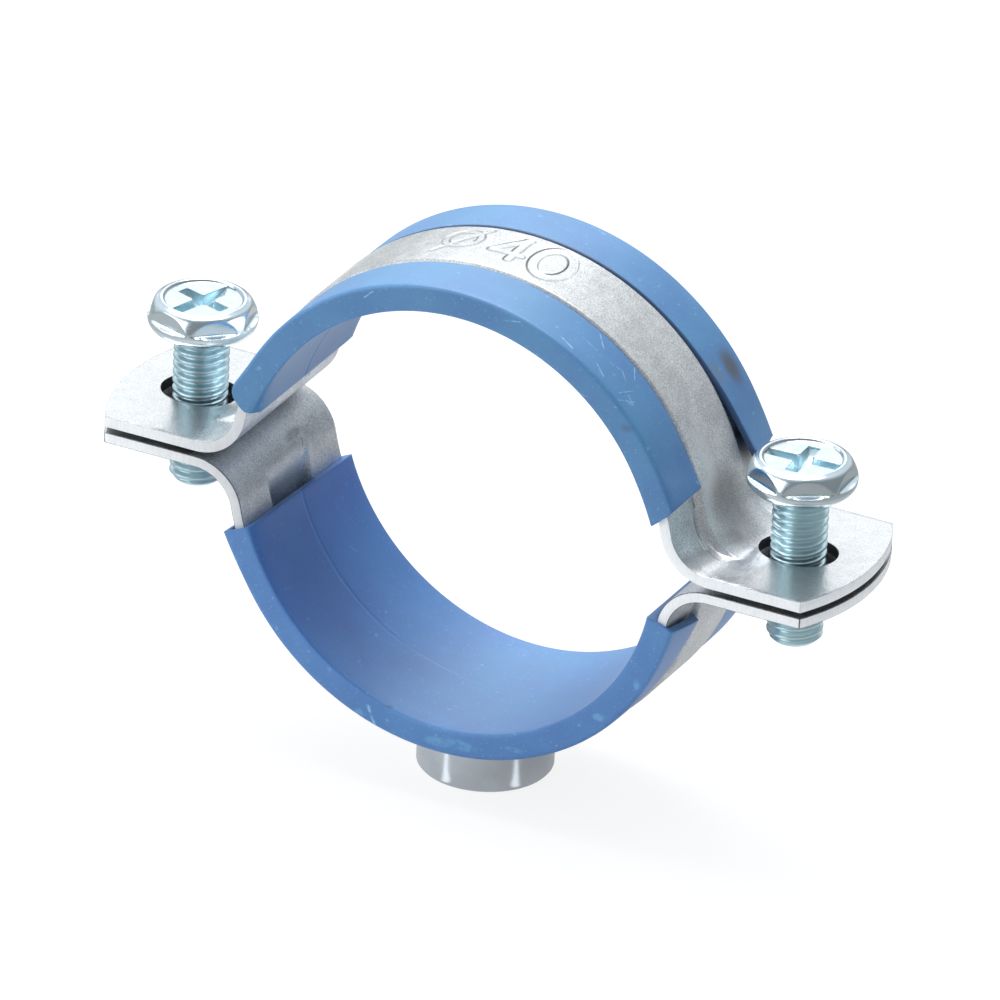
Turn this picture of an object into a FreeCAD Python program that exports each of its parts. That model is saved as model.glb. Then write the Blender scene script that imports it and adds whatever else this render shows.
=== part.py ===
import FreeCAD, Part
import math
import os
import Sketcher

# Rubber lined pipe clamp, millimetres
# Two pressed steel halves carry a rubber lining each and are drawn together by two screws.
# A threaded boss is welded under the lower half, for a wall plate or a hanger rod.
# Origin: centre of the boss's bottom face. +Z up, X along the ears, Y along the pipe.

SIZES = {
    # Pipe and lining
    "bore_radius": 20.0,
    "liner_thickness": 0.85,
    "lining_clearance": 0.05,
    "lip_thickness": 0.6,
    "lining_side_wall": 0.35,
    "lining_edge_chamfer": 0.3,
    "lining_arc": 151.5,
    "lining_trim": 2.0,
    "upper_lining_slant": 28.0,
    "lower_lining_slant": 8.0,
    "lower_lining_turn": 2.9,
    # Pressed strap
    "sheet_thickness": 1.0,
    "strap_width": 18.0,
    "ear_gap": 0.55,
    "ear_bend_radius": 3.8,
    "ear_beyond_screw": 6.95,
    "ear_tip_crown": 2.25,
    # Raised band pressed along the middle of the strap, with the channel below it
    "band_width": 7.4,
    "band_rise": 0.8,
    "band_step": 0.4,
    "band_bend_radius": 5.0,
    "band_sink": 0.1,
    "channel_width": 6.4,
    "channel_bend_radius": 1.5,
    "overlap_depth": 0.1,
    # Holes in the ears
    "slot_length": 7.2,
    "slot_width": 5.6,
    "thread_clearance": 0.06,
    # Screws
    "screw_beyond_bore": 9.5,
    "screw_diameter": 5.0,
    "screw_length": 14.0,
    "screw_tip_chamfer": 0.5,
    "screw_head_gap": 5.55,
    "head_height": 3.6,
    "head_foot_radius": 3.2,
    "head_bowl_radius": 4.4,
    "head_bowl_depth": 2.95,
    "head_radius": 4.9,
    "head_widest_depth": 2.05,
    "head_shoulder_inset": 0.15,
    "head_shoulder_depth": 1.0,
    "head_edge_inset": 0.64,
    "head_edge_depth": 0.25,
    "head_top_radius": 3.85,
    "head_rim": 0.35,
    "head_dish": 0.27,
    "head_across_flats": 8.6,
    "head_collar_depth": 1.9,
    "recess_width": 1.2,
    "recess_slot_length": 6.8,
    "recess_slot_depth": 1.1,
    "recess_cross_length": 5.0,
    "recess_cross_depth": 1.5,
    "recess_centre_radius": 1.0,
    "recess_centre_depth": 1.9,
    "left_screw_turn": 72.0,
    "right_screw_turn": 3.0,
    # Welded boss
    "boss_diameter": 12.2,
    "boss_height": 4.9,
    "boss_thread_diameter": 8.0,
    "boss_chamfer": 0.4,
    "boss_relief_depth": 0.8,
    "boss_relief_step": 0.5,
    "weld_clearance": 0.02,
}

# Derived sizes, written as expressions of the sheet's cells
LINING_OUTER = "(Sizes.bore_radius + Sizes.liner_thickness)"
STRAP_INNER = f"({LINING_OUTER} + Sizes.lining_clearance)"
STRAP_OUTER = f"({STRAP_INNER} + Sizes.sheet_thickness)"
BAND_OUTER = f"({STRAP_OUTER} + Sizes.band_rise)"
BAND_INNER = f"({STRAP_INNER} + Sizes.band_rise)"
EAR_UNDERSIDE = "(Sizes.ear_gap / 2)"
EAR_TOP = f"({EAR_UNDERSIDE} + Sizes.sheet_thickness)"
OUTER_BEND = "(Sizes.ear_bend_radius + Sizes.sheet_thickness)"
HALF_SHEET = "(Sizes.sheet_thickness / 2)"
SCREW_REACH = "(Sizes.bore_radius + Sizes.screw_beyond_bore)"
EAR_TIP = f"({SCREW_REACH} + Sizes.ear_beyond_screw)"
EAR_CORNER = f"({EAR_TIP} - Sizes.ear_tip_crown)"
BAND_END = f"(({EAR_TIP} + Sizes.bore_radius) / 2)"
STEP_FOOT = "(Sizes.band_step * (1 + Sizes.overlap_depth / Sizes.band_rise))"
LIP_INNER = f"({STRAP_OUTER} + Sizes.lining_clearance)"
LIP_OUTER = f"({LIP_INNER} + Sizes.lip_thickness)"
LIP_BORDER = "(Sizes.band_width / 2 + Sizes.band_step + Sizes.lining_clearance)"
POCKET_HALF = "(Sizes.strap_width / 2 + Sizes.lining_clearance)"
LINING_HALF = f"({POCKET_HALF} + Sizes.lining_side_wall)"
LINING_END = "((180 - Sizes.lining_arc) / 2)"
AXIS_HEIGHT = f"(Sizes.boss_height + {BAND_OUTER})"
HEAD_UNDERSIDE = f"({AXIS_HEIGHT} + {EAR_TOP} + Sizes.screw_head_gap)"
SCREW_RADIUS = "(Sizes.screw_diameter / 2)"
SADDLE_RADIUS = f"({BAND_OUTER} + Sizes.weld_clearance)"

TOP_OF_ARC = math.pi / 2
BOTTOM_OF_ARC = 3 * math.pi / 2

doc = FreeCAD.newDocument("pipe_clamp")
sizes = doc.addObject("Spreadsheet::Sheet", "Sizes")
for row, (alias, number) in enumerate(SIZES.items(), start=1):
    sizes.set(f"A{row}", alias)
    sizes.set(f"B{row}", str(number))
    sizes.setAlias(f"B{row}", alias)
doc.recompute()


def value(expression):
    """The present number of an expression, for a sketch's first guess."""
    result = sizes.evalExpression(expression)
    return float(getattr(result, "Value", result))


def vector(x, y):
    return FreeCAD.Vector(x, y, 0)


def new_body(label):
    body = doc.addObject("PartDesign::Body", label)
    body.Label = label
    return body


def origin_feature(body, role):
    for feature in body.Origin.OriginFeatures:
        if feature.Role == role:
            return feature
    raise ValueError(role)


def new_sketch(body, name, plane, offset=None):
    """An empty sketch on one of the body's origin planes, moved along its normal."""
    sketch = body.newObject("Sketcher::SketchObject", name)
    sketch.AttachmentSupport = [(origin_feature(body, plane), "")]
    sketch.MapMode = "FlatFace"
    if offset is not None:
        sketch.setExpression("AttachmentOffset.Base.z", offset)
    return sketch


def bind(sketch, name, kind, geometry, expression):
    """Add one dimension to a sketch and bind it to an expression."""
    index = sketch.addConstraint(Sketcher.Constraint(kind, *geometry, value(expression)))
    sketch.renameConstraint(index, name)
    sketch.setExpression(f"Constraints.{name}", expression)


def add_line(sketch, start, end):
    return sketch.addGeometry(Part.LineSegment(vector(*start), vector(*end)))


def add_arc(sketch, centre, radius, start_angle, end_angle):
    circle = Part.Circle(vector(*centre), FreeCAD.Vector(0, 0, 1), radius)
    return sketch.addGeometry(Part.ArcOfCircle(circle, start_angle, end_angle))


def add_circle(sketch, centre, radius, construction=False):
    circle = Part.Circle(vector(*centre), FreeCAD.Vector(0, 0, 1), radius)
    return sketch.addGeometry(circle, construction)


def join(sketch, first, first_end, second, second_end, kind="Coincident"):
    sketch.addConstraint(Sketcher.Constraint(kind, first, first_end, second, second_end))


def bend_centre(ring, bend, level):
    """Centre of the bend that runs from a ring's outside into a level line."""
    height = level + bend
    return math.sqrt((ring + bend) ** 2 - height**2), height


def strip_outline(sketch, upper, lower, reach):
    """Half of an arched strip. Each of its two long lines is a ring arc, a bend and a level.

    upper and lower hold three expressions each: ring radius, bend radius and level.
    """
    lines = []
    for side in (upper, lower):
        ring, bend, level = (value(part) for part in side)
        centre = bend_centre(ring, bend, level)
        turn = math.atan2(centre[1], centre[0])
        ring_arc = add_arc(sketch, (0, 0), ring, turn, TOP_OF_ARC)
        bend_arc = add_arc(sketch, centre, bend, turn + math.pi, BOTTOM_OF_ARC)
        flat = add_line(sketch, (centre[0], level), (value(reach), level))
        lines.append((ring_arc, bend_arc, flat))
    upper_level, lower_level = value(upper[2]), value(lower[2])
    end = add_line(sketch, (value(reach), upper_level), (value(reach), lower_level))
    middle = add_line(sketch, (0, value(lower[0])), (0, value(upper[0])))
    for name, side, (ring_arc, bend_arc, flat) in zip(("upper", "lower"), (upper, lower), lines):
        join(sketch, ring_arc, 3, -1, 1)
        join(sketch, ring_arc, 1, bend_arc, 1, "Tangent")
        join(sketch, bend_arc, 2, flat, 1, "Tangent")
        sketch.addConstraint(Sketcher.Constraint("Horizontal", flat))
        bind(sketch, f"{name}_ring", "Radius", (ring_arc,), side[0])
        bind(sketch, f"{name}_bend", "Radius", (bend_arc,), side[1])
        bind(sketch, f"{name}_level", "DistanceY", (-1, 1, flat, 1), side[2])
    join(sketch, lines[0][2], 2, end, 1)
    join(sketch, lines[1][2], 2, end, 2)
    join(sketch, lines[1][0], 2, middle, 1)
    join(sketch, lines[0][0], 2, middle, 2)
    sketch.addConstraint(Sketcher.Constraint("Vertical", end))
    sketch.addConstraint(Sketcher.Constraint("PointOnObject", middle, 1, -2))
    sketch.addConstraint(Sketcher.Constraint("PointOnObject", middle, 2, -2))
    bind(sketch, "reach", "DistanceX", (-1, 1, end, 1), reach)


def stepped_loft(body, name, kind, half_width, full, foot, lower):
    """A strip along the strap that is full size in the middle and steps down at both sides."""
    foot_offset = f"({half_width} + {STEP_FOOT})"
    places = (
        ("front_foot", foot, foot_offset),
        ("front", full, half_width),
        ("back", full, f"-{half_width}"),
        ("back_foot", foot, f"-{foot_offset}"),
    )
    sections = []
    for place, upper, offset in places:
        section = new_sketch(body, f"{name}_{place}", "XZ_Plane", offset)
        strip_outline(section, upper, lower, BAND_END)
        sections.append(section)
    loft = body.newObject(kind, name)
    loft.Profile = sections[0]
    loft.Sections = sections[1:]
    loft.Ruled = True
    return loft


def strap_sheet(body):
    """The bare sheet: half ring, bend and flat ear, one thickness everywhere."""
    outline = new_sketch(body, "sheet_outline", "XZ_Plane")
    strip_outline(
        outline,
        (STRAP_OUTER, "Sizes.ear_bend_radius", EAR_TOP),
        (STRAP_INNER, OUTER_BEND, EAR_UNDERSIDE),
        f"({EAR_TIP} + Sizes.sheet_thickness)",
    )
    pad = body.newObject("PartDesign::Pad", "sheet")
    pad.Profile = outline
    pad.Midplane = True
    pad.setExpression("Length", "Sizes.strap_width")
    return pad


def strap_band(body):
    """The raised band. Its bend dives into the ear, so the band runs out there."""
    return stepped_loft(
        body,
        "band",
        "PartDesign::AdditiveLoft",
        "(Sizes.band_width / 2)",
        (BAND_OUTER, "Sizes.band_bend_radius", f"({EAR_TOP} - Sizes.band_sink)"),
        (
            f"({STRAP_OUTER} - Sizes.overlap_depth)",
            "(Sizes.ear_bend_radius + Sizes.overlap_depth)",
            f"({EAR_TOP} - Sizes.overlap_depth)",
        ),
        (
            f"({STRAP_INNER} + {HALF_SHEET})",
            f"(Sizes.ear_bend_radius + {HALF_SHEET})",
            f"({EAR_TOP} - {HALF_SHEET})",
        ),
    )


def strap_channel(body):
    """The channel that the pressed band leaves on the pipe side. It runs out in the bend."""
    return stepped_loft(
        body,
        "channel",
        "PartDesign::SubtractiveLoft",
        "(Sizes.channel_width / 2)",
        (BAND_INNER, "Sizes.channel_bend_radius", f"({EAR_UNDERSIDE} - Sizes.band_sink)"),
        (
            f"({STRAP_INNER} - Sizes.overlap_depth)",
            f"({OUTER_BEND} + Sizes.overlap_depth)",
            f"({EAR_UNDERSIDE} - Sizes.overlap_depth)",
        ),
        (
            f"({STRAP_INNER} - Sizes.sheet_thickness)",
            f"({OUTER_BEND} + Sizes.sheet_thickness)",
            f"({EAR_UNDERSIDE} - Sizes.sheet_thickness)",
        ),
    )


def ear_end(body):
    """Trim the ear to its sharp corners and the shallow arc between them."""
    half = value("Sizes.strap_width / 2")
    corner = value(EAR_CORNER)
    tip = value(EAR_TIP)
    rise = value("Sizes.ear_tip_crown")
    radius = (rise**2 + half**2) / (2 * rise)
    sweep = math.asin(half / radius)
    waste = tip + 2 * value("Sizes.sheet_thickness")
    sketch = new_sketch(body, "ear_end_outline", "XY_Plane")
    arc = add_arc(sketch, (tip - radius, 0), radius, -sweep, sweep)
    top = add_line(sketch, (corner, half), (waste, half))
    side = add_line(sketch, (waste, half), (waste, -half))
    bottom = add_line(sketch, (waste, -half), (corner, -half))
    join(sketch, arc, 2, top, 1)
    join(sketch, top, 2, side, 1)
    join(sketch, side, 2, bottom, 1)
    join(sketch, bottom, 2, arc, 1)
    sketch.addConstraint(Sketcher.Constraint("Horizontal", top))
    sketch.addConstraint(Sketcher.Constraint("Horizontal", bottom))
    sketch.addConstraint(Sketcher.Constraint("Vertical", side))
    sketch.addConstraint(Sketcher.Constraint("PointOnObject", arc, 3, -1))
    bind(sketch, "corner", "DistanceX", (-1, 1, top, 1), EAR_CORNER)
    bind(sketch, "half_width", "DistanceY", (-1, 1, top, 1), "(Sizes.strap_width / 2)")
    crown_radius = "((Sizes.ear_tip_crown^2 + (Sizes.strap_width / 2)^2) / (2 * Sizes.ear_tip_crown))"
    bind(sketch, "tip_radius", "Radius", (arc,), crown_radius)
    waste_end = f"({EAR_TIP} + 2 * Sizes.sheet_thickness)"
    bind(sketch, "waste", "DistanceX", (-1, 1, side, 1), waste_end)
    return cut_through(body, "ear_end", sketch)


def cut_through(body, name, sketch):
    pocket = body.newObject("PartDesign::Pocket", name)
    pocket.Profile = sketch
    pocket.Type = "ThroughAll"
    pocket.Midplane = True
    return pocket


def screw_slot(body):
    """Slot in the upper ear, wide enough for the screw to find the tapped hole."""
    centre = value(SCREW_REACH)
    radius = value("Sizes.slot_width / 2")
    half = value("(Sizes.slot_length - Sizes.slot_width) / 2")
    sketch = new_sketch(body, "slot_outline", "XY_Plane")
    near = add_arc(sketch, (centre - half, 0), radius, TOP_OF_ARC, BOTTOM_OF_ARC)
    far = add_arc(sketch, (centre + half, 0), radius, -TOP_OF_ARC, TOP_OF_ARC)
    top = add_line(sketch, (centre + half, radius), (centre - half, radius))
    bottom = add_line(sketch, (centre - half, -radius), (centre + half, -radius))
    join(sketch, far, 2, top, 1, "Tangent")
    join(sketch, top, 2, near, 1, "Tangent")
    join(sketch, near, 2, bottom, 1, "Tangent")
    join(sketch, bottom, 2, far, 1, "Tangent")
    sketch.addConstraint(Sketcher.Constraint("PointOnObject", near, 3, -1))
    sketch.addConstraint(Sketcher.Constraint("PointOnObject", far, 3, -1))
    bind(sketch, "slot_radius", "Radius", (near,), "(Sizes.slot_width / 2)")
    bind(
        sketch,
        "near_centre",
        "DistanceX",
        (-1, 1, near, 3),
        f"({SCREW_REACH} - (Sizes.slot_length - Sizes.slot_width) / 2)",
    )
    bind(
        sketch,
        "slot_run",
        "DistanceX",
        (near, 3, far, 3),
        "(Sizes.slot_length - Sizes.slot_width)",
    )
    return cut_through(body, "slot", sketch)


def tapped_hole(body):
    """Tapped hole in the lower ear, at the screw's own diameter."""
    radius = f"({SCREW_RADIUS} + Sizes.thread_clearance)"
    sketch = new_sketch(body, "tapped_outline", "XY_Plane")
    hole = add_circle(sketch, (value(SCREW_REACH), 0), value(radius))
    sketch.addConstraint(Sketcher.Constraint("PointOnObject", hole, 3, -1))
    bind(sketch, "hole_radius", "Radius", (hole,), radius)
    bind(sketch, "hole_centre", "DistanceX", (-1, 1, hole, 3), SCREW_REACH)
    return cut_through(body, "tapped", sketch)


def make_strap(label, ear_hole):
    """One pressed half: the right side is built and mirrored to the left."""
    body = new_body(label)
    sheet, band, channel = strap_sheet(body), strap_band(body), strap_channel(body)
    features = [sheet, band, channel, ear_end(body), ear_hole(body)]
    doc.recompute()
    mirrored = body.newObject("PartDesign::Mirrored", "left_side")
    mirrored.Originals = features
    mirrored.MirrorPlane = (origin_feature(body, "YZ_Plane"), [""])
    mirrored.Refine = True
    body.Tip = mirrored
    body.setExpression("Placement.Base.z", AXIS_HEIGHT)
    return body


def lining_outline(sketch):
    """C section of the lining: liner below the strap, side walls and lips over its edges."""
    half = value(LINING_HALF)
    pocket = value(POCKET_HALF)
    border = value(LIP_BORDER)
    bore = value("Sizes.bore_radius")
    liner = value(LINING_OUTER)
    under = value(LIP_INNER)
    over = value(LIP_OUTER)
    corners = [
        (-half, bore), (half, bore), (half, over), (border, over),
        (border, under), (pocket, under), (pocket, liner), (-pocket, liner),
        (-pocket, under), (-border, under), (-border, over), (-half, over),
    ]
    count = len(corners)
    lines = [add_line(sketch, corners[k], corners[(k + 1) % count]) for k in range(count)]
    for k in range(count):
        join(sketch, lines[k], 2, lines[(k + 1) % count], 1)
        sketch.addConstraint(Sketcher.Constraint("Horizontal" if k % 2 == 0 else "Vertical", lines[k]))
    bind(sketch, "bore", "DistanceY", (-1, 1, lines[0], 1), "Sizes.bore_radius")
    bind(sketch, "liner", "DistanceY", (-1, 1, lines[6], 1), LINING_OUTER)
    for name, line, level in (("right", 4, LIP_INNER), ("left", 8, LIP_INNER)):
        bind(sketch, f"{name}_lip_underside", "DistanceY", (-1, 1, lines[line], 1), level)
    for name, line, level in (("right", 2, LIP_OUTER), ("left", 10, LIP_OUTER)):
        bind(sketch, f"{name}_lip_top", "DistanceY", (-1, 1, lines[line], 1), level)
    bind(sketch, "right_side", "DistanceX", (-1, 1, lines[1], 1), LINING_HALF)
    bind(sketch, "left_side", "DistanceX", (lines[11], 1, -1, 1), LINING_HALF)
    bind(sketch, "right_border", "DistanceX", (-1, 1, lines[3], 1), LIP_BORDER)
    bind(sketch, "left_border", "DistanceX", (lines[9], 1, -1, 1), LIP_BORDER)
    bind(sketch, "right_pocket", "DistanceX", (-1, 1, lines[5], 1), POCKET_HALF)
    bind(sketch, "left_pocket", "DistanceX", (lines[7], 1, -1, 1), POCKET_HALF)


def outer_long_edges(shape):
    """Names of the lining's four long edges on its front and back."""
    half = value(LINING_HALF)
    names = []
    for number, edge in enumerate(shape.Edges, start=1):
        box = edge.BoundBox
        is_arc = isinstance(edge.Curve, Part.Circle)
        if is_arc and box.YLength < 1e-6 and abs(abs(box.YMax) - half) < 1e-6:
            names.append(f"Edge{number}")
    return names


def slanted_end(body, slant):
    """Trim one end so that the lips stop short of the liner, which the pipe rests on."""
    line_angle = f"({LINING_END} + {slant})"
    corner_x = f"(Sizes.bore_radius * cos({LINING_END}))"
    corner_z = f"(Sizes.bore_radius * sin({LINING_END}))"
    near_x = f"({corner_x} - Sizes.sheet_thickness * cos({line_angle}))"
    near_z = f"({corner_z} - Sizes.sheet_thickness * sin({line_angle}))"
    far_x = f"({corner_x} + 4 * Sizes.sheet_thickness * cos({line_angle}))"
    far_z = f"({corner_z} + 4 * Sizes.sheet_thickness * sin({line_angle}))"
    points = [
        (value(near_x), 0), (value(far_x), 0),
        (value(far_x), value(far_z)), (value(near_x), value(near_z)),
    ]
    sketch = new_sketch(body, "end_outline", "XZ_Plane")
    lines = [add_line(sketch, points[k], points[(k + 1) % 4]) for k in range(4)]
    for k in range(4):
        join(sketch, lines[k], 2, lines[(k + 1) % 4], 1)
    sketch.addConstraint(Sketcher.Constraint("PointOnObject", lines[0], 1, -1))
    sketch.addConstraint(Sketcher.Constraint("Horizontal", lines[0]))
    sketch.addConstraint(Sketcher.Constraint("Vertical", lines[1]))
    sketch.addConstraint(Sketcher.Constraint("Vertical", lines[3]))
    bind(sketch, "near", "DistanceX", (-1, 1, lines[0], 1), near_x)
    bind(sketch, "far", "DistanceX", (-1, 1, lines[0], 2), far_x)
    bind(sketch, "far_height", "DistanceY", (-1, 1, lines[1], 2), far_z)
    bind(sketch, "near_height", "DistanceY", (-1, 1, lines[2], 2), near_z)
    return cut_through(body, "slanted_end", sketch)


def make_lining(label, slant):
    """Extruded rubber profile bent into an arc round the pipe."""
    body = new_body(label)
    section = new_sketch(body, "section", "YZ_Plane")
    lining_outline(section)
    arc = body.newObject("PartDesign::Revolution", "lining")
    arc.Profile = section
    arc.ReferenceAxis = (origin_feature(body, "Y_Axis"), [""])
    arc.Midplane = True
    arc.setExpression("Angle", "(Sizes.lining_arc + 2 * Sizes.lining_trim)")
    doc.recompute()
    eased = body.newObject("PartDesign::Chamfer", "eased_edges")
    eased.Base = (arc, outer_long_edges(arc.Shape))
    eased.setExpression("Size", "Sizes.lining_edge_chamfer")
    doc.recompute()
    trimmed = slanted_end(body, slant)
    doc.recompute()
    mirrored = body.newObject("PartDesign::Mirrored", "left_end")
    mirrored.Originals = [trimmed]
    mirrored.MirrorPlane = (origin_feature(body, "YZ_Plane"), [""])
    body.Tip = mirrored
    body.setExpression("Placement.Base.z", AXIS_HEIGHT)
    return body


def screw_outline(sketch):
    """Half section of the screw, with the head's underside at zero height."""
    shoulder = "(Sizes.head_radius - Sizes.head_shoulder_inset)"
    edge = "(Sizes.head_radius - Sizes.head_edge_inset)"
    inner_rim = "(Sizes.head_top_radius - Sizes.head_rim)"
    head = [
        ("bowl", "Sizes.head_bowl_radius", "Sizes.head_bowl_depth"),
        ("widest", "Sizes.head_radius", "Sizes.head_widest_depth"),
        ("shoulder", shoulder, "Sizes.head_shoulder_depth"),
        ("edge", edge, "Sizes.head_edge_depth"),
    ]
    top = value("Sizes.head_height")
    dish = top - value("Sizes.head_dish")
    rim = value("Sizes.head_top_radius")
    shank = value(SCREW_RADIUS)
    chamfer = value("Sizes.screw_tip_chamfer")
    tip = -value("Sizes.screw_length")
    foot = value("Sizes.head_foot_radius")
    corners = [(0, tip), (shank - chamfer, tip), (shank, tip + chamfer), (shank, 0), (foot, 0)]
    corners += [(value(radius), top - value(depth)) for _, radius, depth in head]
    corners += [(rim, top), (value(inner_rim), top), (value(inner_rim), dish), (0, dish)]
    count = len(corners)
    lines = [add_line(sketch, corners[k], corners[(k + 1) % count]) for k in range(count)]
    for k in range(count):
        join(sketch, lines[k], 2, lines[(k + 1) % count], 1)
    for k in (0, 3, 9, 11):
        sketch.addConstraint(Sketcher.Constraint("Horizontal", lines[k]))
    for k in (2, 10):
        sketch.addConstraint(Sketcher.Constraint("Vertical", lines[k]))
    sketch.addConstraint(Sketcher.Constraint("PointOnObject", lines[12], 1, -2))
    sketch.addConstraint(Sketcher.Constraint("PointOnObject", lines[12], 2, -2))
    sketch.addConstraint(Sketcher.Constraint("PointOnObject", lines[3], 1, -1))
    bind(sketch, "length", "DistanceY", (lines[0], 1, -1, 1), "Sizes.screw_length")
    tip_radius = f"({SCREW_RADIUS} - Sizes.screw_tip_chamfer)"
    bind(sketch, "tip_radius", "DistanceX", (-1, 1, lines[1], 1), tip_radius)
    bind(sketch, "tip_chamfer", "DistanceY", (lines[1], 1, lines[1], 2), "Sizes.screw_tip_chamfer")
    bind(sketch, "shank", "DistanceX", (-1, 1, lines[2], 1), SCREW_RADIUS)
    bind(sketch, "foot", "DistanceX", (-1, 1, lines[4], 1), "Sizes.head_foot_radius")
    for line, (name, radius, depth) in enumerate(head, start=5):
        bind(sketch, f"{name}_radius", "DistanceX", (-1, 1, lines[line], 1), radius)
        height = f"(Sizes.head_height - {depth})"
        bind(sketch, f"{name}_height", "DistanceY", (-1, 1, lines[line], 1), height)
    bind(sketch, "head_top", "DistanceY", (-1, 1, lines[9], 1), "Sizes.head_height")
    bind(sketch, "rim", "DistanceX", (-1, 1, lines[9], 1), "Sizes.head_top_radius")
    bind(sketch, "inner_rim", "DistanceX", (-1, 1, lines[10], 1), inner_rim)
    bind(sketch, "dish", "DistanceY", (lines[10], 2, lines[10], 1), "Sizes.head_dish")


def hexagon_cut(body):
    """Everything outside the hexagon above the collar: it leaves six lens shaped flats."""
    collar = "(Sizes.head_height - Sizes.head_collar_depth)"
    sketch = new_sketch(body, "flats_outline", "XY_Plane", collar)
    corner_radius = "(Sizes.head_across_flats / sqrt(3))"
    radius = value(corner_radius)
    corners = [
        (radius * math.cos(math.radians(30 + 60 * k)), radius * math.sin(math.radians(30 + 60 * k)))
        for k in range(6)
    ]
    lines = [add_line(sketch, corners[k], corners[(k + 1) % 6]) for k in range(6)]
    outside = "(Sizes.head_radius + Sizes.head_height)"
    ring = add_circle(sketch, (0, 0), value(outside))
    guide = add_circle(sketch, (0, 0), radius, construction=True)
    join(sketch, ring, 3, -1, 1)
    join(sketch, guide, 3, -1, 1)
    for k in range(6):
        join(sketch, lines[k], 2, lines[(k + 1) % 6], 1)
        sketch.addConstraint(Sketcher.Constraint("PointOnObject", lines[k], 1, guide))
        if k > 0:
            sketch.addConstraint(Sketcher.Constraint("Equal", lines[0], lines[k]))
    sketch.addConstraint(Sketcher.Constraint("Vertical", lines[5]))
    bind(sketch, "corner_radius", "Radius", (guide,), corner_radius)
    bind(sketch, "outside", "Radius", (ring,), outside)
    pocket = body.newObject("PartDesign::Pocket", "flats")
    pocket.Profile = sketch
    pocket.Reversed = True
    pocket.setExpression("Length", "Sizes.head_height")
    return pocket


def recess_arm(body, name, plane_height, length, width, depth, along_x):
    """One straight arm of the driver recess, centred on the head."""
    sketch = new_sketch(body, f"{name}_outline", "XY_Plane", plane_height)
    run, across = (length, width) if along_x else (width, length)
    x, y = value(f"{run} / 2"), value(f"{across} / 2")
    corners = [(-x, -y), (x, -y), (x, y), (-x, y)]
    lines = [add_line(sketch, corners[k], corners[(k + 1) % 4]) for k in range(4)]
    for k in range(4):
        join(sketch, lines[k], 2, lines[(k + 1) % 4], 1)
        sketch.addConstraint(Sketcher.Constraint("Horizontal" if k % 2 == 0 else "Vertical", lines[k]))
    sketch.addConstraint(Sketcher.Constraint("Symmetric", lines[0], 1, lines[2], 1, -1, 1))
    bind(sketch, "run", "DistanceX", (lines[0], 1, lines[0], 2), run)
    bind(sketch, "across", "DistanceY", (lines[1], 1, lines[1], 2), across)
    pocket = body.newObject("PartDesign::Pocket", name)
    pocket.Profile = sketch
    pocket.setExpression("Length", depth)
    return pocket


def recess_centre(body):
    """The deeper round middle where the recess's two arms cross."""
    sketch = new_sketch(body, "centre_outline", "XY_Plane", "Sizes.head_height")
    hole = add_circle(sketch, (0, 0), value("Sizes.recess_centre_radius"))
    join(sketch, hole, 3, -1, 1)
    bind(sketch, "radius", "Radius", (hole,), "Sizes.recess_centre_radius")
    pocket = body.newObject("PartDesign::Pocket", "centre")
    pocket.Profile = sketch
    pocket.setExpression("Length", "Sizes.recess_centre_depth")
    return pocket


def make_screw(label, side, turn):
    """Hexagon head screw with a combined slot and cross recess."""
    body = new_body(label)
    half_section = new_sketch(body, "half_section", "XZ_Plane")
    screw_outline(half_section)
    blank = body.newObject("PartDesign::Revolution", "blank")
    blank.Profile = half_section
    blank.ReferenceAxis = (origin_feature(body, "Z_Axis"), [""])
    blank.Angle = 360
    doc.recompute()
    hexagon_cut(body)
    doc.recompute()
    recess_arm(
        body,
        "slot_arm",
        "Sizes.head_height",
        "Sizes.recess_slot_length",
        "Sizes.recess_width",
        "Sizes.recess_slot_depth",
        True,
    )
    recess_arm(
        body,
        "cross_arm",
        "Sizes.head_height",
        "Sizes.recess_cross_length",
        "Sizes.recess_width",
        "Sizes.recess_cross_depth",
        False,
    )
    body.Tip = recess_centre(body)
    body.Placement = FreeCAD.Placement(FreeCAD.Vector(), FreeCAD.Rotation(FreeCAD.Vector(0, 0, 1), 0))
    body.setExpression("Placement.Base.x", f"{side} * {SCREW_REACH}")
    body.setExpression("Placement.Base.z", HEAD_UNDERSIDE)
    body.setExpression("Placement.Rotation.Angle", turn)
    return body


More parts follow.
